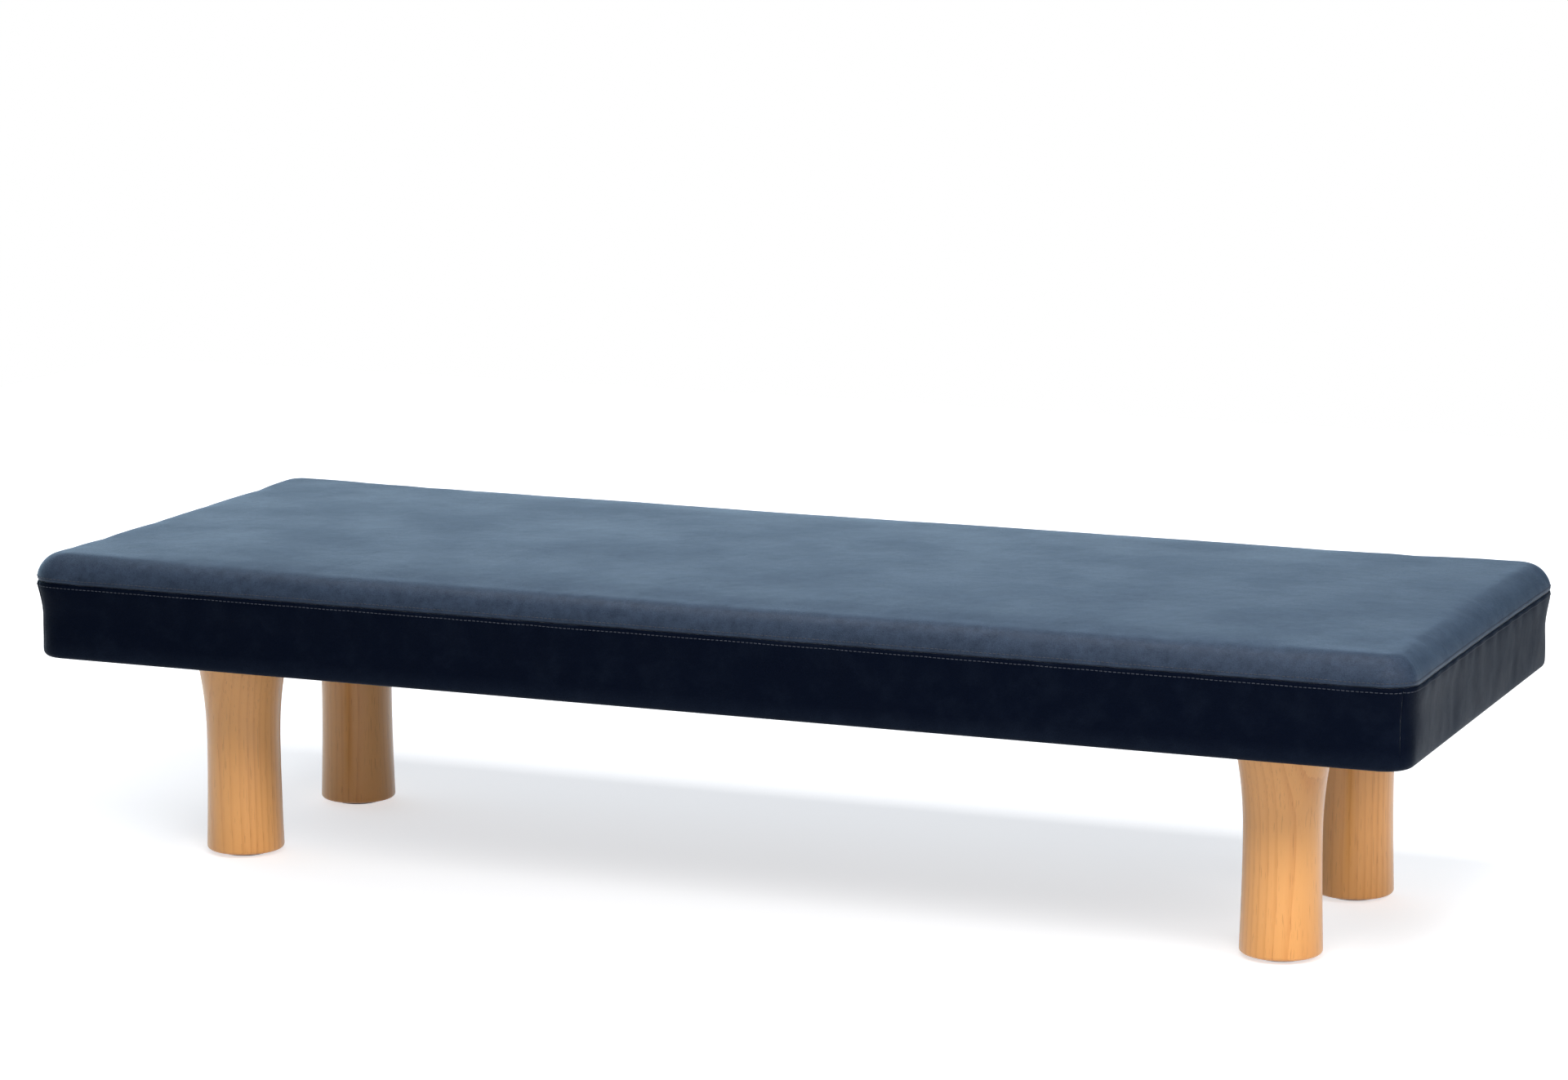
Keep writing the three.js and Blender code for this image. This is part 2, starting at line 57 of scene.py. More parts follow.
TOP_LOW, TOP_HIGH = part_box("cover_top")
HEM_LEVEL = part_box("cover_right")[0].z
CORNERS = [(1, 1), (-1, 1), (-1, -1), (1, -1)]
PLACES = ["front_left", "front_right", "rear_left", "rear_right"]
SEAM_GAP = 0.0003
ON_LINE = 0.0001  # a point nearer than this to a seam or a level lies on it
CUT_SNAP = 0.00002  # a cut takes a point this near as its own
EDGE_SEGMENTS = 10
CLOTH_FRAMES = 20
STRAP_THICKNESS = 0.0018
DUST_CLOTH_THICKNESS = 0.0005

# Hollows of use: depth, waves a metre on each axis, and where in the noise they lie
HOLLOWS = [
    (0.0016, (2.3, 3.1, 0), (0, 0, 4.5)),
    (0.0008, (5.2, 5.2, 9), (3, 7, 1)),
    (0.0003, (15, 15, 15), (9, 2, 4)),
]

# Where each leg's growth rings have their centre, from the leg's own
HEARTS = [(0.11, 0.09), (-0.13, 0.07), (0.12, -0.10), (-0.10, -0.12)]
HEART_LEVEL = 0.14

# A glide's nail: radius and height, from its head up to its point
NAIL = [
    (0.0008, 0.0007), (0.0046, 0.0009), (0.0048, 0.0011),
    (0.0016, 0.0023), (0.0015, 0.0215), (0.0002, 0.0245)]

# Each lamp: its setting, its size, its place and where it points
LAMPS = [
    ("overhead", (3.2, 0.6), (0.0, -0.1, 2.5), (0, 0, 0.2)),
    ("front", (2.2, 1.4), (3.2, -4.2, 1.7), (0, 0, 0.2)),
    ("high_front", (2.0, 1.2), (1.2, -2.6, 2.8), (0.1, 0, 0.1)),
    ("right", (1.6, 1.0), (3.4, -1.4, 2.3), (0.4, 0, 0.1)),
]
SURROUND_STRENGTH = 1.75
CAMERA_PLACE = (2.4461, -5.9200, 1.5951)
CAMERA_TURN = (90 - 10.01, 0.086, 22.49)  # degrees


# Sizes and colours


def size(label, note, default):
    return FloatProperty(name=label, description=note, default=default, min=0, unit="LENGTH", precision=4)


def colour(label, note, default):
    return FloatVectorProperty(
        name=label, description=note, default=default, size=3, min=0, max=1, subtype="COLOR")


def power(label, note, default):
    return FloatProperty(name=label, description=note, default=default, min=0, subtype="POWER")


class DivanSlab(bpy.types.PropertyGroup):
    """Sizes of the upholstered slab."""

    length: size("Length", "Length of the slab", TOP_HIGH.x - TOP_LOW.x)
    width: size("Width", "Width of the slab", TOP_HIGH.y - TOP_LOW.y)
    bottom: size("Bottom", "Height of the leather's hem above the floor", HEM_LEVEL)
    seam_height: size("Seam height", "Height of the seam round the slab", TOP_LOW.z)
    edge_radius: size("Upper edge radius", "Radius of the rounded upper edge", 0.036)
    corner_radius: size("Corner radius", "Radius of the slab's corners in plan", 0.046)
    hem_radius: size("Hem radius", "Radius where the leather turns under the frame", 0.010)
    hem_reach: size("Hem reach", "How far the leather reaches under the frame", 0.018)
    draw_in: size("Side draw-in", "How far the sides go in beside the frame", 0.006)
    bow_in: size("Side bow", "How far the upper edge goes in between corners", 0.003)
    crown: size("Crown", "How far the top rises in its middle", 0.0065)
    frame_top: size("Frame top", "Height of the timber frame's top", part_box("side_rail_front")[1].z)
    leather: size("Leather", "Thickness of the leather", 0.0014)
    wadding: size("Wadding", "Thickness of the fibre wadding", 0.008)
    mesh_pitch: size("Mesh pitch", "Spacing of the mesh's rows", 0.016)
    swell: size("Swell", "How far the stuffing pushes the leather out", 0.003)
    groove: size("Seam groove", "How deep the seams lie", 0.0024)
    lip: size("Seam lip", "Half the width of a seam's groove", 0.0024)
    stitch_pitch: size("Stitch pitch", "Distance from stitch to stitch", 0.006)
    stitch_length: size("Stitch length", "Length of a stitch", 0.0046)
    thread: size("Thread", "Radius of the stitching thread", 0.00055)


class DivanLegs(bpy.types.PropertyGroup):
    """Sizes of the legs and their glides."""

    foot_radius: size("Foot radius", "Radius of a leg at its foot", 0.054)
    waist_radius: size("Waist radius", "Radius of a leg at its waist", 0.051)
    shoulder_radius: size("Shoulder radius", "Radius of a leg under the slab", 0.067)
    facets: IntProperty(name="Facets", description="Sides of a turned leg", default=72, min=24, max=160)
    glide_radius: size("Glide radius", "Radius of a glide", 0.034)
    glide_thickness: size("Glide thickness", "Thickness of a glide", 0.005)


class DivanColours(bpy.types.PropertyGroup):
    """Colours of the finishes."""

    leather: colour("Leather", "Aniline leather", (0.0024, 0.0045, 0.0125))
    # The paler leather stands for wear and for painted light on the top and its upper edge.
    leather_worn: colour("Leather, worn", "Leather where it is rubbed", (0.0500, 0.0730, 0.1170))
    thread: colour("Thread", "Stitching thread", (0.030, 0.036, 0.054))
    honey: colour("Leg wood", "Honey wood between its rings", (0.96, 0.45, 0.130))
    honey_ring: colour("Leg wood rings", "Late wood of the legs", (0.78, 0.29, 0.062))
    pine: colour("Frame wood", "Sawn softwood", (0.68, 0.46, 0.24))
    pine_ring: colour("Frame wood rings", "Late wood of the frame", (0.46, 0.25, 0.10))
    zinc: colour("Zinc", "Zinc-plated steel", (0.62, 0.63, 0.62))
    nylon: colour("Nylon", "Nylon of the glides", (0.022, 0.019, 0.017))
    webbing: colour("Webbing", "Elastic webbing", (0.035, 0.032, 0.028))
    webbing_line: colour("Webbing line", "Coloured line along the webbing", (0.32, 0.045, 0.03))
    hessian: colour("Hessian", "Jute cloth", (0.36, 0.24, 0.11))
    foam: colour("Foam", "Cut foam", (0.80, 0.74, 0.58))
    fibre: colour("Wadding", "Fibre wadding", (0.85, 0.85, 0.83))
    dust_cloth: colour("Dust cloth", "Spun cloth under the slab", (0.0095, 0.0095, 0.011))


class DivanStage(bpy.types.PropertyGroup):
    """The floor, the light and the camera."""

    floor: colour("Floor", "Pale floor", (0.74, 0.74, 0.74))
    floor_glow: colour("Floor glow", "Whiteness that the eye finds in the floor", (0.625, 0.616, 0.622))
    backdrop: colour("Backdrop light", "Light from the pale backdrop behind, to the left", (0.61, 0.82, 1.0))
    room: colour("Room light", "Light from the dim room on the other sides", (0.050, 0.052, 0.055))
    overhead: power("Overhead", "Power of the lamp above", 42)
    front: power("Front", "Power of the low lamp in front", 32)
    high_front: power("High front", "Power of the high lamp in front", 72)
    right: power("Right", "Power of the lamp on the right", 42)
    focal: FloatProperty(
        name="Focal length", description="Camera lens in millimetres", default=109.8, unit="CAMERA")


# Selecting and cutting by place


def alone(piece):
    bpy.ops.object.select_all(action="DESELECT")
    piece.select_set(True)
    bpy.context.view_layer.objects.active = piece


def open_mesh(piece):
    alone(piece)
    bpy.ops.object.mode_set(mode="EDIT")
    bpy.ops.mesh.select_mode(type="FACE")


def close_mesh():
    bpy.ops.object.mode_set(mode="OBJECT")


def settled():
    """The active piece, with its place, turn and scale put into its mesh."""
    bpy.ops.object.transform_apply(location=True, rotation=True, scale=True)
    return bpy.context.object


def centre(vertices):
    return sum((v.co for v in vertices), Vector()) / len(vertices)


def plan_centre(node):
    """The middle of a node's box, seen from above."""
    low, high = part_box(node)
    return (low.x + high.x) / 2, (low.y + high.y) / 2


def pick(piece, kind, test):
    """Selects the verts, edges or faces that pass, while the mesh is open."""
    bpy.ops.mesh.select_mode(type=kind[:-1].upper())
    bpy.ops.mesh.select_all(action="DESELECT")
    mesh = bmesh.from_edit_mesh(piece.data)
    for item in [item for item in getattr(mesh, kind) if test(item)]:
        item.select_set(True)
    mesh.select_flush_mode()
    bmesh.update_edit_mesh(piece.data)


def select_whole():
    bpy.ops.mesh.select_all(action="SELECT")


def cut(place, normal, **how):
    select_whole()
    bpy.ops.mesh.bisect(plane_co=place, plane_no=normal, threshold=CUT_SNAP, **how)


def spaced(low, high, pitch):
    count = max(1, round((high - low) / pitch))
    return [low + (high - low) * i / count for i in range(count + 1)]


def finish_piece(piece, name, material, smooth, replaced=()):
    """Names a piece, puts its place in its mesh and parents it to the root body."""
    alone(piece)
    settled()
    bpy.ops.object.shade_smooth_by_angle(angle=math.radians(smooth))
    piece.name = piece.data.name = name
    piece.data.materials.clear()
    piece.data.materials.append(material)
    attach(piece, "root")
    if replaced:
        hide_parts(*replaced)
    return piece


def modify(piece, kind, **settings):
    """Adds a modifier and applies it."""
    alone(piece)
    modifier = piece.modifiers.new(kind.title(), kind)
    for key, value in settings.items():
        setattr(modifier, key, value)
    bpy.ops.object.modifier_apply(modifier=modifier.name)


def linked(name, data):
    """A new object of the scene that holds this data."""
    piece = bpy.data.objects.new(name, data)
    bpy.context.scene.collection.objects.link(piece)
    return piece


def move_points(piece, places):
    for v, place in zip(piece.data.vertices, places):
        v.co = place
    piece.data.update()


def repeated(model, places, name):
    """One piece that holds a copy of the modelled mesh at every place."""
    everything = bmesh.new()
    for place in places:
        one = model.data.copy()
        one.transform(place)
        everything.from_mesh(one)
        bpy.data.meshes.remove(one)
    piece = linked(name, bpy.data.meshes.new(name))
    everything.to_mesh(piece.data)
    everything.free()
    bpy.data.objects.remove(model)
    return piece


# Finishes


class Wire:
    """A socket of a finish, which can be added, multiplied and passed on."""

    def __init__(self, tree, socket):
        self.tree, self.socket = tree, socket

    def node(self, kind, settings, inputs, output=0):
        """Adds a node: its settings first, then the values or links of its sockets."""
        node = self.tree.nodes.new("ShaderNode" + kind)
        for key, value in settings.items():
            setattr(node, key, value)
        for key, value in inputs.items():
            if isinstance(value, Wire):
                self.tree.links.new(value.socket, node.inputs[key])
            else:
                node.inputs[key].default_value = value
        return Wire(self.tree, None if output is None else node.outputs[output])

    def maths(self, operation, *values):
        return self.node("Math", {"operation": operation}, dict(enumerate(values)))

    def __add__(self, other):
        return self.maths("ADD", self, other)

    def __mul__(self, other):
        return self.maths("MULTIPLY", self, other)

    def __sub__(self, other):
        return self.maths("SUBTRACT", self, other)

    def __rsub__(self, other):
        return self.maths("SUBTRACT", other, self)

    def stretched(self, scale, place=(0, 0, 0)):
        """The coordinates centred on a place and scaled on each axis."""
        moved = [-p * s for p, s in zip(place, scale)]
        return self.node("Mapping", {}, {"Vector": self, "Location": moved, "Scale": scale})

    def cloud(self, scale, detail=3, roughness=0.5, warp=0):
        """Soft noise from 0 to 1."""
        return self.node("TexNoise", {}, {
            "Vector": self, "Scale": scale, "Detail": detail, "Roughness": roughness, "Distortion": warp})

    def crossed(self, share, *cloud):
        """Fibres that lie both ways: noise drawn out along one axis over noise drawn out along the other."""
        along, across = [self.stretched(way).cloud(*cloud) for way in ((1, share, 1), (share, 1, 1))]
        return along.maths("MAXIMUM", along, across)

    def wobbled(self, scale, depth):
        """The coordinates, shifted a little by soft noise."""
        shift = self.node("TexNoise", {}, {"Vector": self, "Scale": scale}, 1)
        return self.node("VectorMath", {"operation": "MULTIPLY_ADD"}, {0: shift, 1: [depth] * 3, 2: self})

    def between(self, low, high, start=0.0, end=1.0):
        """Goes from start to end as the value goes from low to high."""
        inputs = {"Value": self, "From Min": low, "From Max": high, "To Min": start, "To Max": end}
        return self.node("MapRange", {"interpolation_type": "SMOOTHSTEP"}, inputs)

    def tinted(self, first, second):
        """The first colour where this value is 0 and the second where it is 1."""
        first, second = [c if isinstance(c, Wire) else (*c, 1) for c in (first, second)]
        return self.node("Mix", {"data_type": "RGBA"}, {0: self, 6: first, 7: second}, 2)

    def relief(self, distance, below=None):
        """A bump of this height, over another one if it is given."""
        inputs = {"Height": self, "Distance": distance}
        if below:
            inputs["Normal"] = below
        return self.node("Bump", {}, inputs)


def coordinates_of(owner, kind="Object"):
    """The coordinates from which the nodes of a material or a world are made."""
    owner.use_nodes = True
    owner.node_tree.nodes.clear()
    return Wire(owner.node_tree, None).node("TexCoord", {}, {}, kind)


def seen_plainly(at):
    """1 where the eye meets a surface directly, in a mirror or through glass, and 0 for other light."""
    kinds = ("Is Camera Ray", "Is Glossy Ray", "Is Transmission Ray")
    direct, mirrored, through = [at.node("LightPath", {}, {}, kind) for kind in kinds]
    return direct.maths("MAXIMUM", direct, mirrored.maths("MAXIMUM", mirrored, through))


def finish(build, coordinates="Object"):
    """Turns a function that gives a shader's inputs into one that makes the named material."""

    def maker(name, *values):
        material = bpy.data.materials.new(name)
        at = coordinates_of(material, coordinates)
        shader = at.node("BsdfPrincipled", {}, build(at, *values))
        at.node("OutputMaterial", {}, {"Surface": shader}, None)
        return material

    return maker


def shaded(tint, *shares):
    """A colour times one share, or with a share for each channel."""
    return [c * share for c, share in zip(tint, shares * 3 if len(shares) == 1 else shares)]


@finish
def leather_finish(at, tints, polish, sheen):
    """Near-black blue leather: pebbled grain with painted shade in its furrows, soft creases, the polish that
    use gives, and a paler colour that is partly wear and partly painted light on the top and its upper edge.
    """
    pebbles_a_metre, wobble_depth = 520, 0.0018
    hollow_depth, crease_depth, pebble_height = 0.0030, 0.0006, 0.00010
    drift = at.cloud(7, 3)
    warped = at.wobbled(90, wobble_depth)
    cells = warped.node(
        "TexVoronoi", {"feature": "DISTANCE_TO_EDGE"}, {"Vector": warped, "Scale": pebbles_a_metre})
    pebbles = cells.between(0.0, 0.22)
    creases = at.cloud(38, 5, 0.62, 0.4)
    patchy = at.cloud(26, 4, 0.6).between(0.42, 0.75)
    # The attribute read here holds wear and painted light: the top is painted paler than the sides, and paler
    # still along its upper edge as a painted highlight.
    edges = at.node("Attribute", {"attribute_name": "rubbed"}, {}, "Fac")
    paler = patchy * 0.05 + edges * at.cloud(60, 4, 0.65).between(0.2, 0.8, 0.6, 1.0)
    base = paler.tinted(tints.leather, tints.leather_worn)
    return {
        # The grain's furrows are painted darker, down to 0.55 of the leather's colour: painted shade.
        "Base Color": ((1 - pebbles) * 0.35).tinted(base, shaded(tints.leather, 0.55)),
        "Roughness": drift.between(0.3, 0.7, 0.31, 0.39) + (1 - pebbles) * 0.08,
        "Normal": pebbles.relief(pebble_height, creases.relief(crease_depth, drift.relief(hollow_depth))),
        "IOR": 1.5, "Specular IOR Level": polish,
        "Sheen Weight": sheen, "Sheen Roughness": 0.4, "Sheen Tint": (0.35, 0.65, 1, 1),
    }


@finish
def thread_finish(at, tint):
    """Twisted sewing thread."""
    twist = at.node("TexWave", {"bands_direction": "DIAGONAL"}, {"Vector": at, "Scale": 700}, 1)
    # The twist is painted in darker bands: painted shade in its grooves.
    return {"Base Color": twist.tinted(shaded(tint, 0.7), tint), "Roughness": 0.55}


@finish
def wood_finish(at, place, axis, light, dark, varnish):
    """Wood with rings about an axis, long fibres, fine pores and, on the legs, a varnish."""

    def drawn_out(share):
        """The coordinates, with this share of their change left along the grain."""
        return at.stretched([share if i == axis else 1.0 for i in range(3)], place)

    centred = drawn_out(0.06)
    rings = centred.node(
        "TexWave", {"wave_type": "RINGS", "rings_direction": "XYZ"[axis], "wave_profile": "SAW"}, {
            "Vector": centred, "Scale": 34, "Distortion": 3.2,
            "Detail": 3, "Detail Scale": 1.2, "Detail Roughness": 0.5}, 1)
    late = rings.between(0.35, 1.0)
    fibres = drawn_out(0.012).cloud(900, 3, 0.6)
    flecks = drawn_out(0.05).cloud(620, 1).between(0.63, 0.70)
    mix = late * 0.42 + (fibres - 0.5) * 0.5 + centred.cloud(16, 3).between(0.3, 0.7, -0.08, 0.14)
    wood = mix.between(0.0, 1.0).tinted(light, dark)
    smooth, dull, fibre_height = (0.30, 0.42, 0.00012) if varnish else (0.62, 0.78, 0.0003)
    coat = {"Coat Weight": 0.35, "Coat Roughness": 0.22} if varnish else {}
    return {
        # The flecks, which the relief sinks, are painted darker: painted shade in the pores.
        "Base Color": (flecks * 0.30).tinted(wood, shaded(dark, 0.62, 0.5, 0.4)),
        "Roughness": fibres.between(0.2, 0.8, smooth, dull),
        "Normal": (fibres * 0.6 + flecks * -0.5).relief(fibre_height), "IOR": 1.5, **coat,
    }


@finish
def metal_finish(at, tint, thread=0):
    """Zinc plate with a faint spangle, and fine ridges where it is threaded."""
    spangle = at.node("TexVoronoi", {}, {"Vector": at, "Scale": 420})
    dull = at.cloud(140, 4, 0.6)
    relief = dull.relief(0.00008)
    if thread:
        ridges = at.node("TexWave", {"bands_direction": "Z"}, {"Vector": at, "Scale": thread}, 1)
        relief = ridges.relief(0.0006, relief)
    return {
        "Base Color": (spangle * 0.25).tinted(tint, shaded(tint, 0.7)),
        "Metallic": 1.0, "Roughness": dull.between(0.3, 0.7, 0.28, 0.44), "Normal": relief,
    }


@finish
def nylon_finish(at, tint):
    """Moulded nylon, faintly pitted and scuffed."""
    scuffs = at.stretched((1, 0.2, 1)).cloud(160, 4, 0.65).between(0.55, 0.75)
    return {
        "Base Color": (scuffs * 0.5).tinted(tint, shaded(tint, 2.4)),
        "Roughness": scuffs * 0.2 + 0.42, "Normal": at.cloud(1400, 2).relief(0.00006),
    }


def woven(at, dark, light, threads, relief, line=None):
    """Plain weave from warp and weft ridges that pass over each other, laid out in metres."""
    shifted = at.wobbled(threads * 0.12, 0.25 / threads)
    u, v = [shifted.node("SeparateXYZ", {}, {0: shifted}, axis) for axis in (0, 1)]
    warp, weft = [way.maths("SINE", way * (threads * math.pi)) for way in (u, v)]
    over = (warp * weft).between(-0.15, 0.15)
    ridges = warp.maths("ABSOLUTE", weft) * over + warp.maths("ABSOLUTE", warp) * (1 - over)
    paler = at.cloud(threads * 0.5, 4, 0.7)
    # The threads' crowns are painted lighter and the hollows between them darker: painted shade.
    cloth = (ridges * 0.7 + (paler - 0.5) * 0.8).between(0.1, 0.9).tinted(dark, light)
    if line:
        half_line, blur = 0.0032, 0.0004
        stripe = v.maths("ABSOLUTE", v).between(half_line, half_line + blur, 1.0, 0.0)
        cloth = (stripe * 0.85).tinted(cloth, line)
    return {
        "Base Color": cloth, "Roughness": paler.between(0.3, 0.7, 0.78, 0.95),
        "Normal": ridges.relief(relief), "Sheen Weight": 0.15, "Specular IOR Level": 0.2,
    }


woven_finish = finish(woven, "UV")


@finish
def spun_finish(at, tint):
    """Spun-bonded cloth: matted fibres pressed flat at a lattice of points."""
    matted = at.crossed(0.25, 900, 4, 0.7)
    dots = at.node("TexVoronoi", {"distance": "CHEBYCHEV"}, {"Vector": at, "Scale": 380, "Randomness": 0.1})
    pressed = dots.between(0.18, 0.3)
    return {
        # The matted fibres are painted lighter where they stand higher and darker where low: painted shade.
        "Base Color": matted.between(0.4, 0.75).tinted(tint, shaded(tint, 2.6)),
        "Roughness": matted.between(0.4, 0.8, 0.75, 0.95),
        "Normal": (matted * 0.5 + pressed * 0.5).relief(0.0003), "Specular IOR Level": 0.25,
    }


@finish
def foam_finish(at, tint):
    """Open-cell foam with its pores and the lines of the saw."""
    pores = at.node("TexVoronoi", {}, {"Vector": at, "Scale": 700})
    saw = at.stretched((0.05, 0.05, 1)).cloud(260, 3)
    # Yellowing with age, and the pores' hollows painted darker as painted shade.
    aged_and_pore_shade = at.cloud(9, 3) * 0.35 + (1 - pores) * 0.3
    return {
        "Base Color": aged_and_pore_shade.tinted(tint, shaded(tint, 0.93, 0.86, 0.72)),
        "Roughness": pores.between(0.0, 0.6, 0.85, 0.97),
        "Normal": (pores * 0.6 + saw * 0.4).relief(0.0006), "Specular IOR Level": 0.15,
    }


@finish
def fibre_finish(at, tint):
    """Lofted fibre with tangled strands."""
    tangle = at.crossed(0.12, 420, 6, 0.75, 1.5)
    return {
        # The low parts of the tangle are painted darker: painted shade.
        "Base Color": tangle.between(0.35, 0.75).tinted(shaded(tint, 0.82), tint),
        "Roughness": tangle.between(0.3, 0.8, 0.85, 0.97), "Normal": tangle.relief(0.0025),
        "Sheen Weight": 0.2, "Specular IOR Level": 0.15,
    }


# The slab's surface


def seam_rows(s):
    """Distances from a seam at which the mesh has rows: its lip, then two steps of the edge's arc."""
    step = s.edge_radius * math.sin(math.radians(90 / EDGE_SEGMENTS))
    return [s.lip, step, 2 * step]


def inner_corner(s):
    """How far from the middle the rounded corners of the plan begin, in length and in width."""
    return s.length / 2 - s.corner_radius, s.width / 2 - s.corner_radius


def at_corner(s, point, sign_x, sign_y):
    inner_x, inner_y = inner_corner(s)
    return point.x * sign_x > inner_x and point.y * sign_y > inner_y and point.z < s.seam_height


def rounded_block(s):
    """A block with rounded corners and edges, open below, cut into rows for the padding."""
    top, slack = s.seam_height + s.edge_radius, 0.001
    bpy.ops.mesh.primitive_cube_add(
        size=1, location=(0, 0, (top + s.bottom) / 2), scale=(s.length, s.width, top - s.bottom))
    block = settled()
    open_mesh(block)
    pick(block, "edges", lambda e: abs(e.verts[0].co.z - e.verts[1].co.z) > 10 * slack)
    bpy.ops.mesh.bevel(offset=s.corner_radius, segments=8, affect="EDGES")
    pick(block, "edges", lambda e: min(v.co.z for v in e.verts) > top - slack)
    bpy.ops.mesh.bevel(offset=s.edge_radius, segments=EDGE_SEGMENTS, affect="EDGES")
    pick(block, "edges", lambda e: max(v.co.z for v in e.verts) < s.bottom + slack)
    bpy.ops.mesh.bevel(offset=s.hem_radius, segments=4, affect="EDGES")
    pick(block, "faces", lambda f: len(f.verts) > 8 and f.normal.z < -0.9)
    bpy.ops.mesh.inset(thickness=s.hem_reach)
    bpy.ops.mesh.delete(type="FACE")
    inner_x, inner_y = inner_corner(s)
    for x in spaced(-inner_x, inner_x, s.mesh_pitch):
        cut((x, 0, 0), (1, 0, 0))
    for y in spaced(-inner_y, inner_y, s.mesh_pitch):
        cut((0, y, 0), (0, 1, 0))
    rows = seam_rows(s)
    side = spaced(s.bottom + s.hem_radius, s.seam_height - rows[2], s.mesh_pitch)
    for z in [*side, s.seam_height - rows[1], s.seam_height - rows[0], s.seam_height + rows[0]]:
        cut((0, 0, z), (0, 0, 1))
    for sign_x, sign_y in CORNERS:
        across = Vector((-sign_y, sign_x, 0)).normalized()
        middle = Vector((sign_x * inner_x, sign_y * inner_y, 0))
        for offset in (-rows[1], -rows[0], rows[0], rows[1]):
            pick(block, "faces", lambda f: at_corner(s, centre(f.verts), sign_x, sign_y))
            bpy.ops.mesh.bisect(plane_co=middle + across * offset, plane_no=across, threshold=CUT_SNAP)
    select_whole()
    bpy.ops.mesh.remove_doubles(threshold=0.00005)
    bpy.ops.mesh.normals_make_consistent(inside=False)
    close_mesh()
    return block


def outward(s, point):
    """The way out of the slab in plan, and how far towards its outline the point lies."""
    inner_x, inner_y = inner_corner(s)
    reach = Vector((
        point.x - max(-inner_x, min(inner_x, point.x)),
        point.y - max(-inner_y, min(inner_y, point.y)), 0))
    share = min(1, reach.length / s.corner_radius)
    return (reach.normalized() if reach.length > 1e-6 else Vector()), share


def smoothstep(value, low, high):
    share = max(0.0, min(1.0, (value - low) / (high - low)))
    return share * share * (3 - 2 * share)


def shaped(s, point):
    """Draws the sides in over the frame and raises the crown."""
    straight, blend, crown_reach, on_top = 0.99, 0.06, 0.95, 0.9
    way, share = outward(s, point)
    rise = smoothstep(point.z, s.frame_top, s.seam_height)
    along = 0.5 + (point.x / s.length if abs(way.y) > straight else point.y / s.width)
    bow = 4 * along * (1 - along) if max(abs(way.x), abs(way.y)) > straight else 0
    weight = share if point.z > s.seam_height else 1
    moved = point - way * weight * (s.draw_in * (1 - rise) + s.bow_in * rise * bow)
    near = s.width / 2 - s.edge_radius
    to_x, to_y = s.length / 2 - s.edge_radius - abs(point.x), near - abs(point.y)
    nearest = -blend * math.log(math.exp(-to_x / blend) + math.exp(-to_y / blend))
    inward = max(0, min(1, nearest / near / crown_reach))
    if point.z > s.seam_height + on_top * s.edge_radius:
        moved.z += s.crown * (1 - (1 - inward) ** 2)
    return moved


def seam_distance(s, point):
    """Distance from the nearest seam on the surface, on the block before it is shaped."""
    level = abs(point.z - s.seam_height)
    inner_x, inner_y = inner_corner(s)
    over_x, over_y = abs(point.x) - inner_x, abs(point.y) - inner_y
    if over_x > 0 and over_y > 0 and point.z < s.seam_height + 1e-5:
        return min(level, abs(over_x - over_y) / math.sqrt(2))
    return level


def in_hem(s, point):
    return point.z < s.bottom + s.hem_radius + ON_LINE


def bell(value, width):
    return math.exp(-((value / width) ** 2))


def rubbed(s, point):
    """How pale the leather is made, partly by wear and partly by painted light: the whole top paler than the
    sides, most along the upper edge and its corners as a painted highlight, little below the seam.
    """
    # The top's share and the upper edge's share stand for wear and for painted light.
    hem_wear, seat_wear_and_painted_light, edge_wear_and_painted_highlight, corner_wear = 0.12, 0.7, 0.2, 0.1
    inner_x, inner_y = s.length / 2 - s.edge_radius, s.width / 2 - s.edge_radius
    over_x, over_y = (abs(point.x) - inner_x) / s.edge_radius, (abs(point.y) - inner_y) / s.edge_radius
    if point.z < s.seam_height:
        return hem_wear * bell(point.z - s.bottom - 0.3 * s.hem_radius, s.hem_radius)
    upper = smoothstep(max(over_x, over_y), -1.2, 0.5)
    corner = smoothstep(min(over_x, over_y), -0.6, 0.7)
    return min(1, seat_wear_and_painted_light + edge_wear_and_painted_highlight * upper + corner_wear * corner)


def stuffed(s, block):
    """Where the stuffing pushes the leather's points to between its seams, found with Cloth."""
    held = block.vertex_groups.new(name="held")
    held.add([
        v.index for v in block.data.vertices
        if in_hem(s, v.co) or seam_distance(s, v.co) < ON_LINE], 1.0, "REPLACE")
    start = [shaped(s, v.co) for v in block.data.vertices]
    move_points(block, start)
    cloth = block.modifiers.new("Cloth", "CLOTH")
    for key, value in {
        "quality": 6, "mass": 0.4, "tension_stiffness": 30, "compression_stiffness": 30,
        "shear_stiffness": 15, "bending_stiffness": 1.5, "use_pressure": True,
        "uniform_pressure_force": 4, "vertex_group_mass": "held", "shrink_min": -0.012,
    }.items():
        setattr(cloth.settings, key, value)
    cloth.settings.effector_weights.gravity = 0
    cloth.collision_settings.use_collision = False
    cloth.point_cache.frame_start, cloth.point_cache.frame_end = 1, CLOTH_FRAMES
    for step in range(1, CLOTH_FRAMES + 1):
        bpy.context.scene.frame_set(step)
    puffed = block.evaluated_get(bpy.context.evaluated_depsgraph_get())
    moves = [v.co - place for v, place in zip(puffed.data.vertices, start)]
    block.modifiers.remove(cloth)
    bpy.context.scene.frame_set(1)
    places, top_share = [], 0.75
    for place, move in zip(start, moves):
        on_top = place.z > s.seam_height + s.edge_radius / 2
        limit = s.swell * (top_share if on_top else 1)
        places.append(place + move * (limit / (limit + move.length)))
    return places


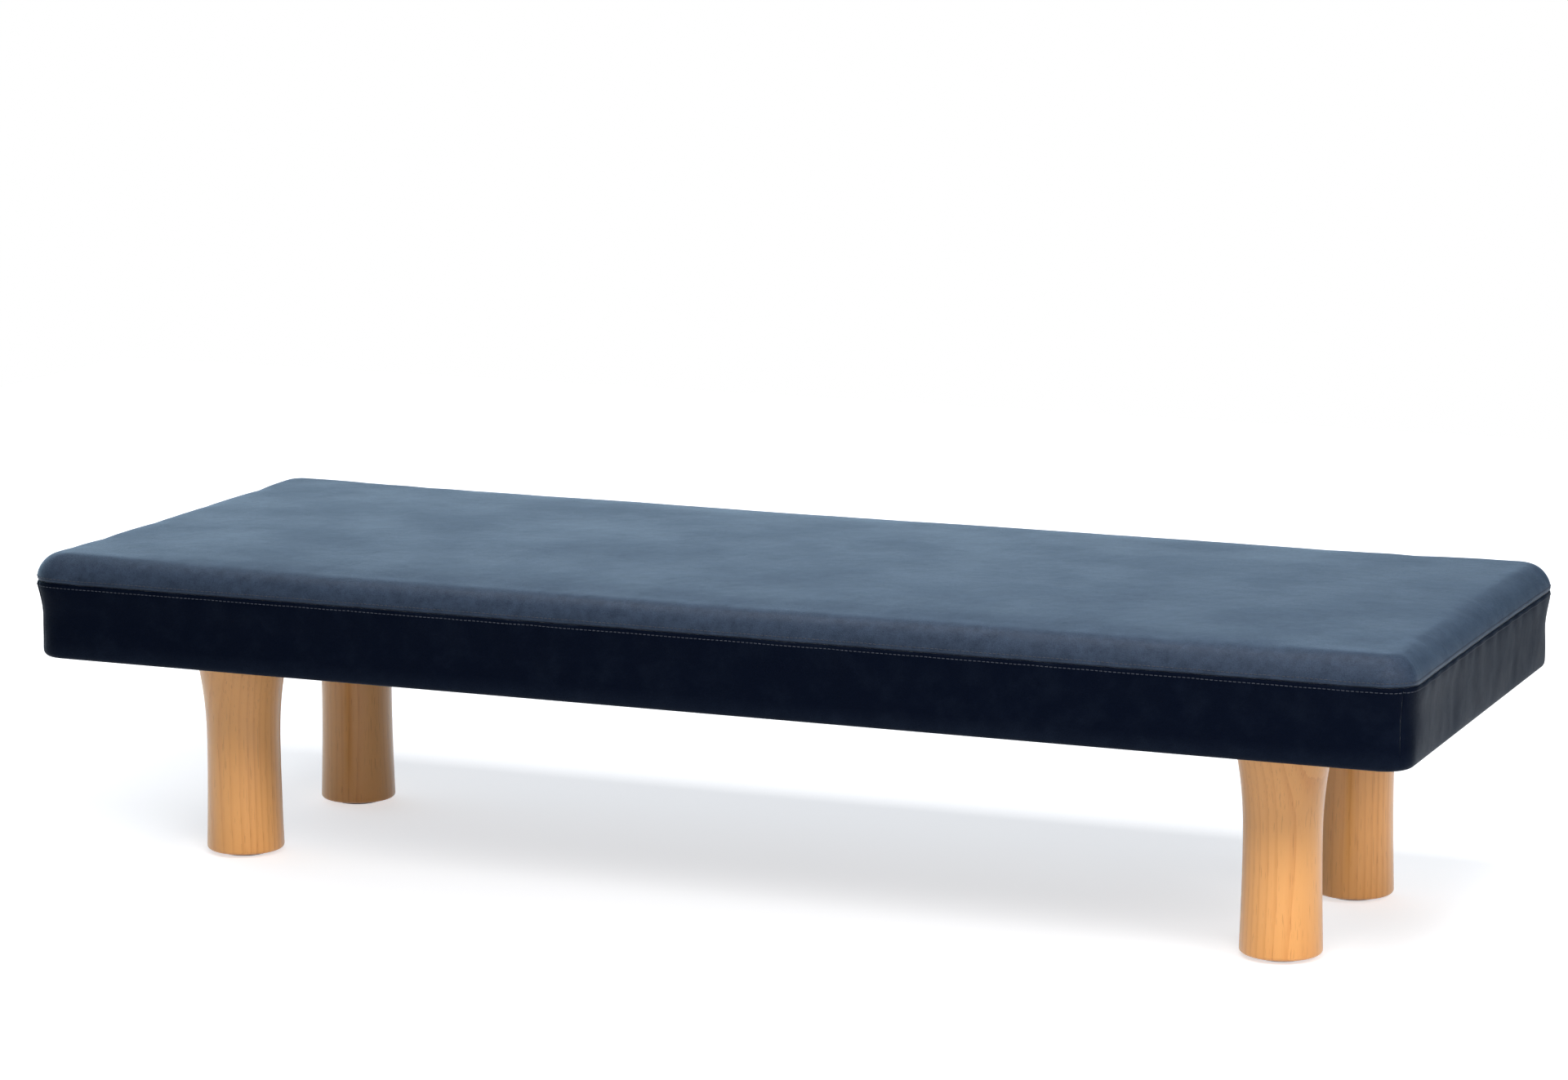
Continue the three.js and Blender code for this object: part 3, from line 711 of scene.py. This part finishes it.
def hand_set(s, block, flat, places):
    """Hollows of use, puckers beside the seams and the grooves in which the seams lie."""
    move_points(block, places)
    normals = [Vector(v.normal) for v in block.data.vertices]
    lip, row = seam_rows(s)[:2]
    pucker_depth, pucker_width, pucker_height, pucker_reach = 0.0005, 0.021, 0.2, 0.016
    dent_depth, dent_width, tight, taut = 0.0004, 0.0016, 0.003, 0.02
    moved = []
    for before, place, normal in zip(flat, places, normals):
        if in_hem(s, before):
            moved.append(place)
            continue
        off = seam_distance(s, before)
        x, y, z = before
        wave = noise.noise(Vector((x / pucker_width, y / pucker_width, z / pucker_height)))
        pucker = pucker_depth * wave * math.exp(-off / pucker_reach) * (1 - math.exp(-off / tight))
        drift = sum(
            depth * noise.noise(Vector([c * rate for c, rate in zip(before, rates)]) + Vector(shift))
            for depth, rates, shift in HOLLOWS) * (1 - math.exp(-off / taut))
        groove = -s.groove * max(0, 1 - off / (lip * 1.25)) - dent_depth * bell(off - row, dent_width)
        moved.append(place + normal * (pucker + drift + groove))
    move_points(block, moved)
    return moved, normals


def layer(block, places, normals, depth, name):
    """The slab's surface at a depth under the leather's face."""
    under = linked(name, block.data.copy())
    move_points(under, [place - normal * depth for place, normal in zip(places, normals)])
    return under


class DIVAN_OT_slab(bpy.types.Operator):
    """Makes the leather cover in five panels, the wadding and the foam"""

    bl_idname = "divan.slab"
    bl_label = "Leather slab"

    def execute(self, context):
        s, tints = context.scene.divan_slab, context.scene.divan_colours
        block = rounded_block(s)
        flat = [Vector(v.co) for v in block.data.vertices]
        places, normals = hand_set(s, block, flat, stuffed(s, block))
        padding(s, block, places, normals, tints)
        self.panels(s, block, flat, tints)
        return {"FINISHED"}

    def panels(self, s, block, flat, tints):
        """Cuts the cover along its seams and gives each panel its thickness."""
        self.mark(s, block, flat)
        modify(block, "SUBSURF", levels=1, render_levels=1)
        threads(s, block, tints)
        open_mesh(block)
        pick(block, "edges", lambda e: e.seam)
        bpy.ops.mesh.edge_split(type="EDGE")
        select_whole()
        bpy.ops.mesh.separate(type="LOOSE")
        close_mesh()
        parts = list(bpy.context.selected_objects)
        if len(parts) != 5:
            raise RuntimeError(f"the cover came apart in {len(parts)} panels")
        sat_on = leather_finish("slate_leather", tints, 0.10, 0.12)
        matt = leather_finish("slate_leather_matt", tints, 0.014, 0.05)
        for part in parts:
            middle = centre(part.data.vertices)
            if middle.z > s.seam_height:
                name = "cover_top"
            elif abs(middle.x) / s.length > abs(middle.y) / s.width:
                name = "cover_right" if middle.x > 0 else "cover_left"
            else:
                name = "cover_rear" if middle.y > 0 else "cover_front"
            part_edges(part, name, s)
            modify(part, "SOLIDIFY", thickness=s.leather, offset=-1)
            hide = sat_on if name == "cover_top" else matt
            piece = finish_piece(part, name.replace("cover", "leather"), hide, 40, [name])
            piece.vertex_groups.clear()

    def mark(self, s, block, flat):
        """Marks the cover's seams, the rows of its stitches and how pale its leather is, from wear and from
        painted light.
        """
        row = seam_rows(s)[1]
        for name, level, slack in (("stitches_above", row, 2 * ON_LINE), ("stitches_below", -row, ON_LINE)):
            found = [i for i, p in enumerate(flat) if abs(p.z - s.seam_height - level) < slack]
            block.vertex_groups.new(name=name).add(found, 1.0, "REPLACE")
        # A point attribute of wear and painted light: the top and its upper edge are painted paler.
        wear_and_painted_light = block.data.attributes.new("rubbed", "FLOAT", "POINT")
        for index, point in enumerate(flat):
            wear_and_painted_light.data[index].value = rubbed(s, point)
        crease = block.data.attributes.new("crease_edge", "FLOAT", "EDGE")
        for edge in block.data.edges:
            ends = [flat[i] for i in edge.vertices]
            if all(seam_distance(s, p) < ON_LINE for p in [*ends, (ends[0] + ends[1]) / 2]):
                crease.data[edge.index].value = 1.0
                edge.use_seam = True


def part_edges(part, name, s):
    """Draws a panel's seam edges back so that two panels never share a place."""
    above_hem, under_seam = 0.005, 0.004
    along = Vector((0, -1, 0)) if name in ("cover_right", "cover_left") else Vector((-1, 0, 0))
    mesh = bmesh.new()
    mesh.from_mesh(part.data)
    for v in mesh.verts:
        if not any(e.is_boundary for e in v.link_edges) or v.co.z < s.bottom + above_hem:
            continue
        if name == "cover_top":
            v.co.z += SEAM_GAP / 2
        elif v.co.z > s.seam_height - under_seam:
            v.co.z -= SEAM_GAP / 2
        else:
            v.co += along * (SEAM_GAP / 2) * (1 if v.co.dot(along) < 0 else -1)
    mesh.to_mesh(part.data)
    mesh.free()


def threads(s, cover, tints):
    """Rows of stitches on both sides of the seam round the slab, with their ends in the leather."""
    bpy.ops.mesh.primitive_cylinder_add(
        vertices=6, radius=s.thread, depth=s.stitch_length, rotation=(0, math.pi / 2, 0))
    stitch = settled()
    open_mesh(stitch)
    for share in (-0.38, -0.2, 0.2, 0.38):
        cut((share * s.stitch_length, 0, 0), (1, 0, 0))
    for low, high, drop in ((0.45, 1, 1.5), (0.3, 0.45, 0.5)):
        pick(stitch, "verts", lambda v: low < abs(v.co.x) / s.stitch_length < high)
        bpy.ops.transform.translate(value=(0, 0, -drop * s.thread))
    close_mesh()
    places = []
    for name in ("stitches_above", "stitches_below"):
        index = cover.vertex_groups[name].index
        row = [
            (v.co.copy(), v.normal.copy()) for v in cover.data.vertices
            if any(g.group == index and g.weight > 0.999 for g in v.groups)]
        row.sort(key=lambda point: math.atan2(point[0].y, point[0].x))
        places += along_row(row, s.stitch_pitch, s.thread * 0.35)
    sewing = repeated(stitch, places, "stitching")
    finish_piece(sewing, "stitching", thread_finish("thread", tints.thread), 50)


def along_row(row, pitch, lift):
    """Places at an even pitch on a closed row of points with their normals."""
    spans = list(zip(row, row[1:] + row[:1]))
    lengths = [(b - a).length for (a, _), (b, _) in spans]
    total = sum(lengths)
    count = round(total / pitch)
    found, i, done = [], 0, 0.0
    for k in range(count):
        target = total * k / count
        while done + lengths[i] < target:
            done += lengths[i]
            i += 1
        share = (target - done) / lengths[i]
        (a, n), (b, m) = spans[i]
        way = (b - a).normalized()
        side = n.lerp(m, share).normalized().cross(way).normalized()
        out = way.cross(side)
        turn = Matrix((way, side, out)).transposed().to_4x4()
        found.append(Matrix.Translation(a.lerp(b, share) + out * lift) @ turn)
    return found


def padding(s, block, places, normals, tints):
    """The wadding and the foam take their shape from the leather's surface."""
    wadding_depth = s.leather + 0.0005
    foam_depth = s.leather + s.wadding + 0.0014
    wadding = layer(block, places, normals, wadding_depth, "wadding")
    open_mesh(wadding)
    cut((0, 0, s.bottom + s.hem_radius), (0, 0, 1), clear_inner=True)
    close_mesh()
    modify(wadding, "SOLIDIFY", thickness=s.wadding, offset=-1)
    wadding.vertex_groups.clear()
    fibre = fibre_finish("wadding", tints.fibre)
    finish_piece(wadding, "fibre_wadding", fibre, 60, ["wadding"])
    foam = layer(block, places, normals, foam_depth, "foam")
    open_mesh(foam)
    cut((0, 0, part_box("foam_core")[0].z), (0, 0, 1), clear_inner=True, use_fill=True)
    close_mesh()
    foam.vertex_groups.clear()
    finish_piece(foam, "foam_slab", foam_finish("foam", tints.foam), 50, ["foam_core"])


# Webbing, cloths and their staples


def laid_out(piece, along):
    """Gives a flat piece a UV map in metres, with u along its length."""
    uv = piece.data.uv_layers.active or piece.data.uv_layers.new(name="UVMap")
    low, high = [
        Vector([end(v.co[i] for v in piece.data.vertices) for i in range(3)]) for end in (min, max)]
    for loop in piece.data.loops:
        place = piece.data.vertices[loop.vertex_index].co - (low + high) / 2
        uv.data[loop.index].uv = (place[along], place[1 - along])


def flat_grid(low, high, pitch):
    """A flat grid over a box's plan at its middle height."""
    across = high - low
    bpy.ops.mesh.primitive_grid_add(
        x_subdivisions=max(2, round(across.x / pitch)), y_subdivisions=max(2, round(across.y / pitch)),
        size=1, location=(low + high) / 2)
    bpy.context.object.scale = (across.x, across.y, 1)
    return settled()


class DIVAN_OT_webbing(bpy.types.Operator):
    """Weaves the straps over and under each other"""

    bl_idname = "divan.webbing"
    bl_label = "Woven webbing"

    def execute(self, context):
        tints = context.scene.divan_colours
        light = shaded(tints.webbing, 2.6)
        cloth = woven_finish("elastic_webbing", tints.webbing, light, 620, 0.0005, tints.webbing_line)
        families = [("webbing_lengthwise_", 5, 0, 1), ("webbing_crosswise_", 13, 1, -1)]
        for (stem, count, along, first), (other, others, *_) in zip(families, reversed(families)):
            crossings = sorted(plan_centre(f"{other}{k + 1}")[along] for k in range(others))
            for k in range(count):
                self.strap(f"{stem}{k + 1}", along, crossings, first if k % 2 == 0 else -first, cloth)
        return {"FINISHED"}

    def strap(self, node, along, crossings, rise, cloth):
        low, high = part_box(node)
        lift = (high.z - low.z - STRAP_THICKNESS) / 2
        strap = flat_grid(low, high, 0.0075)
        for v in strap.data.vertices:
            v.co.z += lift * self.wave(v.co[along], crossings, rise)
        modify(strap, "SOLIDIFY", thickness=STRAP_THICKNESS, offset=0)
        laid_out(strap, along)
        finish_piece(strap, node.replace("webbing", "strap"), cloth, 40, [node])

    def wave(self, place, crossings, rise):
        """Flat over each crossing, with smooth steps between."""
        flat, slope = 0.0315, 0.03
        height = 0.0
        for i, at in enumerate(crossings):
            way = rise if i % 2 == 0 else -rise
            height += way * (1 - smoothstep(abs(place - at), flat, flat + slope))
        return max(-1, min(1, height))


class DIVAN_OT_cloths(bpy.types.Operator):
    """Stretches the base cloth and the dust cloth, and staples the dust cloth on"""

    bl_idname = "divan.cloths"
    bl_label = "Cloths and staples"

    def execute(self, context):
        tints = context.scene.divan_colours
        self.base_cloth(tints)
        self.dust_cloth(tints)
        return {"FINISHED"}

    def base_cloth(self, tints):
        low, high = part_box("base_cloth")
        cloth = flat_grid(low, high, 0.04)
        modify(cloth, "SOLIDIFY", thickness=high.z - low.z, offset=0)
        laid_out(cloth, 0)
        jute = woven_finish("hessian_cloth", tints.hessian, shaded(tints.hessian, 1.8), 700, 0.0006)
        piece = finish_piece(cloth, "hessian_base", jute, 40, ["base_cloth"])

    def dust_cloth(self, tints):
        """A cloth with cut corners and square holes round the legs' bolts, hanging a little."""
        low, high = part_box("dust_cloth")
        corner, beyond, bolt = 0.025, 0.29, 0.0056
        sag, ripple_depth, leg_reach = 0.0022, 0.0006, 0.075
        cloth = flat_grid(low, high, 0.03)
        legs = [plan_centre(f"leg_{place}") for place in PLACES]
        open_mesh(cloth)
        for sign_x, sign_y in CORNERS:
            way = Vector((sign_x, sign_y, 0))
            inner = Vector((sign_x * (high.x - corner), sign_y * (high.y - corner), 0))
            cut(inner + way * corner * beyond, way, clear_outer=True)
        for x, y in legs:
            for step in (-bolt, bolt):
                cut((x + step, 0, 0), (1, 0, 0))
                cut((0, y + step, 0), (0, 1, 0))
        pick(cloth, "faces", lambda f: any(
            abs(centre(f.verts).x - x) < bolt and abs(centre(f.verts).y - y) < bolt for x, y in legs))
        bpy.ops.mesh.delete(type="FACE")
        close_mesh()
        for v in cloth.data.vertices:
            edge = min(high.x - abs(v.co.x), high.y - abs(v.co.y))
            leg = min(math.hypot(v.co.x - x, v.co.y - y) for x, y in legs)
            free = smoothstep(edge, 0.03, 0.2) * smoothstep(leg, leg_reach, 0.2)
            loose = smoothstep(edge, 0.012, 0.06) * smoothstep(leg, leg_reach, 0.12)
            v.co.z -= sag * free + max(-0.0002, noise.noise(v.co * 22) * ripple_depth * loose)
        modify(cloth, "SOLIDIFY", thickness=DUST_CLOTH_THICKNESS, offset=0)
        spun = spun_finish("dust_cloth", tints.dust_cloth)
        piece = finish_piece(cloth, "dust_cover", spun, 50, ["dust_cloth"])
        staples = self.staples(low, high, tints)

    def staples(self, low, high, tints):
        """Wire staples all round the edge of the dust cloth."""
        wide, wire, prong = 0.0105, 0.0011, 0.0028
        inset, from_end, pitch, askew = 0.008, 0.045, 0.055, 14
        bpy.ops.mesh.primitive_cube_add(size=1, scale=(wide, wire, wire * 0.6))
        staple = settled()
        open_mesh(staple)
        for x in (-wide / 2 + wire, wide / 2 - wire):
            cut((x, 0, 0), (1, 0, 0))
        pick(staple, "faces", lambda f: f.normal.z > 0.9 and abs(centre(f.verts).x) > wide / 2 - wire)
        bpy.ops.mesh.extrude_region_move(TRANSFORM_OT_translate={"value": (0, 0, prong)})
        pick(staple, "edges", lambda e: max(v.co.z for v in e.verts) < 0)
        bpy.ops.mesh.bevel(offset=0.0002, segments=2, affect="EDGES")
        close_mesh()
        places = []
        for along, (reach, across) in enumerate([(high.x, high.y), (high.y, high.x)]):
            for sign in (-1, 1):
                for i, at in enumerate(spaced(-reach + from_end, reach - from_end, pitch)):
                    tilt = math.radians(askew * noise.noise(Vector((i * 1.7, sign * 3.1, along * 5.3))))
                    side = sign * (across - inset)
                    spot = Vector((*((side, at) if along else (at, side)), low.z - 0.0002))
                    turn = Matrix.Rotation(tilt + along * math.pi / 2, 4, "Z")
                    places.append(Matrix.Translation(spot) @ turn)
        piece, wire_finish = repeated(staple, places, "staples"), metal_finish("staple_wire", tints.zinc)
        return finish_piece(piece, "dust_cover_staples", wire_finish, 40)


# Legs and glides


def turned(profile, facets, place):
    """A turned solid: a disc drawn up ring by ring through (radius, height) pairs, closed at both ends."""
    radius, height = profile[0]
    bpy.ops.mesh.primitive_circle_add(
        vertices=facets, radius=radius, fill_type="NGON", location=(*place, height))
    piece = settled()
    open_mesh(piece)
    select_whole()
    bpy.ops.mesh.flip_normals()
    for next_radius, next_height in profile[1:]:
        if max(abs(next_height - height), abs(next_radius - radius)) > 1e-7:
            rise = (0, 0, next_height - height)
            bpy.ops.mesh.extrude_region_move(TRANSFORM_OT_translate={"value": rise})
            share = next_radius / radius
            bpy.ops.transform.resize(value=(share, share, 1), center_override=(*place, next_height))
        radius, height = next_radius, next_height
    select_whole()
    bpy.ops.mesh.normals_make_consistent(inside=False)
    close_mesh()
    return piece


def arc(radius, height, turn, start, end, steps):
    """Points of an arc about (radius, height), with its angles in quarter turns."""
    return [
        (radius + turn * math.cos(a * math.pi / 2), height + turn * math.sin(a * math.pi / 2))
        for a in (start + (end - start) * i / steps for i in range(steps + 1))]


class DIVAN_OT_legs(bpy.types.Operator):
    """Turns the four legs, their glides and the glides' nails"""

    bl_idname = "divan.legs"
    bl_label = "Legs and glides"

    def execute(self, context):
        sizes, tints = context.scene.divan_legs, context.scene.divan_colours
        nylon = nylon_finish("glide_nylon", tints.nylon)
        nail_finish = metal_finish("nail_steel", tints.zinc)
        for place, (heart_x, heart_y) in zip(PLACES, HEARTS):
            low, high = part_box(f"leg_{place}")
            x, y = spot = plan_centre(f"leg_{place}")
            leg = turned(self.profile(sizes, low.z, high.z), sizes.facets, spot)
            heart = (x + heart_x, y + heart_y, HEART_LEVEL)
            wood = wood_finish(f"leg_wood_{place}", heart, 2, tints.honey, tints.honey_ring, True)
            finish_piece(leg, f"turned_leg_{place}", wood, 35, [f"leg_{place}"])
            self.glide(sizes, place, spot, nylon, nail_finish)
        return {"FINISHED"}

    def profile(self, sizes, bottom, top):
        """Nearly straight to the waist, then a hollow flare to the shoulder, with a bore at each end."""
        height = top - bottom
        foot_round, shoulder_round = 0.005, 0.003
        waist, flare_top = 0.52 * height, height - shoulder_round
        nail_bore, nail_depth, bolt_bore, bolt_depth = 0.0019, 0.0200, 0.0053, 0.0555
        narrowing = sizes.waist_radius - sizes.foot_radius
        widening = sizes.shoulder_radius - sizes.waist_radius
        shank = [
            (sizes.foot_radius + narrowing * math.sin(t * math.pi / 2), foot_round + (waist - foot_round) * t)
            for t in (i / 8 for i in range(1, 9))]
        flare = [
            (sizes.waist_radius + widening * t ** 2.2, waist + (flare_top - waist) * t)
            for t in (i / 14 for i in range(1, 14))]
        outline = [
            (nail_bore, nail_depth), (nail_bore, 0),
            *arc(sizes.foot_radius - foot_round, foot_round, foot_round, -1, 0, 6), *shank, *flare,
            *arc(sizes.shoulder_radius - shoulder_round, flare_top, shoulder_round, 0, 1, 5),
            (bolt_bore, height), (bolt_bore, height - bolt_depth)]
        return [(radius, bottom + level) for radius, level in outline]

    def glide(self, sizes, place, spot, nylon, nail_finish):
        """A disc with a rounded rim, sunk round the head of the nail that holds it."""
        radius, thick = sizes.glide_radius, sizes.glide_thickness
        hole, rim, bevel = 0.0017, 0.0015, 0.0004
        disc = turned([
            (hole, thick - 2 * bevel), (hole, 0.0021), (0.0052, 0.0012), (0.0056, 0),
            *arc(radius - rim, rim, rim, -1, 0, 4),
            (radius - bevel, thick - bevel), (radius - 2 * bevel, thick), (hole, thick)], 48, spot)
        finish_piece(disc, f"glide_disc_{place}", nylon, 35, [f"glide_{place}"])
        nail = turned(NAIL, 20, spot)
        finish_piece(nail, f"glide_nail_{place}", nail_finish, 35)


class DIVAN_OT_frame_finish(bpy.types.Operator):
    """Gives the timber frame and its fastenings their finishes"""

    bl_idname = "divan.frame_finish"
    bl_label = "Frame finishes"

    def execute(self, context):
        tints = context.scene.divan_colours
        threaded = metal_finish("threaded_steel", tints.zinc, 209)
        plain = metal_finish("pressed_steel", tints.zinc)
        for node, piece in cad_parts.items():
            if piece.hide_render or node.startswith(("cover", "webbing", "leg_front", "leg_rear", "glide")):
                continue
            if node.startswith("hanger_bolt"):
                material = threaded
            elif node.startswith("tee_nut"):
                material = plain
            else:
                low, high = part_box(node)
                axis = max(range(3), key=lambda i: (high - low)[i])
                heart = (low + high) / 2 + Vector((0.035, -0.045, -0.06))
                material = wood_finish(f"sawn_{node}", heart, axis, tints.pine, tints.pine_ring, False)
            piece.data.materials.clear()
            piece.data.materials.append(material)
        return {"FINISHED"}


# Floor, light and camera


class DIVAN_OT_stage(bpy.types.Operator):
    """Lays the floor and sets the lamps, the surround and the camera"""

    bl_idname = "divan.stage"
    bl_label = "Stage"

    def execute(self, context):
        stage = context.scene.divan_stage
        self.floor(stage)
        for name, across, place, aim in LAMPS:
            self.lamp(name, getattr(stage, name), across, place, aim)
        self.surround(stage)
        self.camera(stage)
        context.scene.view_settings.view_transform = "Standard"
        return {"FINISHED"}

    def floor(self, stage):
        """A pale floor that glows to the eye, and more so away from the divan."""
        near, far, extra = 0.75, 1.5, 0.7
        bpy.ops.mesh.primitive_plane_add(size=1, location=(0, 1.2, 0))
        bpy.context.object.scale = (7, 6, 1)
        floor = settled()
        floor.name = "floor"
        material = bpy.data.materials.new("pale_floor")
        at = coordinates_of(material)
        marks = at.cloud(3, 4).between(0.3, 0.7, 0.0, 0.02)
        lit = at.node("BsdfDiffuse", {}, {"Color": marks.tinted(stage.floor, shaded(stage.floor, 0.97))})
        away = at.node("VectorMath", {"operation": "LENGTH"}, {0: at.stretched((0.6, 1, 1))}, 1)
        looked_at = at.node("LightPath", {}, {}, "Is Camera Ray")
        strength = seen_plainly(at) + looked_at * away.between(near, far, 0.0, extra)
        glow = at.node("Emission", {}, {"Color": (*stage.floor_glow, 1), "Strength": strength})
        at.node("OutputMaterial", {}, {"Surface": at.node("AddShader", {}, {0: lit, 1: glow})}, None)
        floor.data.materials.append(material)

    def lamp(self, name, power, across, place, aim):
        light = bpy.data.lights.new(name, "AREA")
        light.shape = "RECTANGLE"
        light.size, light.size_y = across
        light.energy = power
        lamp = linked(name, light)
        lamp.location = place
        lamp.rotation_euler = (Vector(aim) - Vector(place)).to_track_quat("-Z", "Y").to_euler()

    def surround(self, stage):
        world = bpy.data.worlds.new("surround")
        bpy.context.scene.world = world
        way = coordinates_of(world, "Generated")
        turned_back = way.node("VectorMath", {"operation": "DOT_PRODUCT"}, {0: way, 1: (-0.8, 0.6, 0)}, 1)
        light = turned_back.between(0.3, 1.0).tinted(stage.room, stage.backdrop)
        around = way.node("Background", {}, {"Color": light, "Strength": SURROUND_STRENGTH})
        white = way.node("Background", {}, {"Color": (1, 1, 1, 1), "Strength": 1.0})
        straight = way.node("LightPath", {}, {}, "Is Camera Ray")
        mixed = way.node("MixShader", {}, {0: straight, 1: around, 2: white})
        way.node("OutputWorld", {}, {"Surface": mixed}, None)

    def camera(self, stage):
        lens = bpy.data.cameras.new("camera")
        lens.lens = stage.focal
        lens.sensor_width = 36
        lens.clip_end = 100
        camera = bpy.context.scene.camera = linked("camera", lens)
        camera.location = CAMERA_PLACE
        camera.rotation_euler = [math.radians(angle) for angle in CAMERA_TURN]


class DIVAN_PT_panel(bpy.types.Panel):
    """Sizes, colours and steps of the divan"""

    bl_idname = "DIVAN_PT_panel"
    bl_label = "Backless divan"
    bl_space_type = "VIEW_3D"
    bl_region_type = "UI"
    bl_category = "Divan"

    def draw(self, context):
        for name in GROUPS:
            box = self.layout.box()
            group = getattr(context.scene, name)
            for key in type(group).__annotations__:
                box.prop(group, key)
        for step in STEPS:
            self.layout.operator(step.bl_idname)


GROUPS = {
    "divan_slab": DivanSlab,
    "divan_legs": DivanLegs,
    "divan_colours": DivanColours,
    "divan_stage": DivanStage,
}
STEPS = [
    DIVAN_OT_slab, DIVAN_OT_webbing, DIVAN_OT_cloths, DIVAN_OT_legs, DIVAN_OT_frame_finish, DIVAN_OT_stage]


def register():
    for kind in [*GROUPS.values(), *STEPS, DIVAN_PT_panel]:
        bpy.utils.register_class(kind)
    for name, kind in GROUPS.items():
        setattr(bpy.types.Scene, name, PointerProperty(type=kind))


def unregister():
    for name in GROUPS:
        delattr(bpy.types.Scene, name)
    for kind in reversed([*GROUPS.values(), *STEPS, DIVAN_PT_panel]):
        bpy.utils.unregister_class(kind)


def main():
    register()
    for step in STEPS:
        group, name = step.bl_idname.split(".")
        getattr(getattr(bpy.ops, group), name)()


if __name__ == "__main__":
    main()
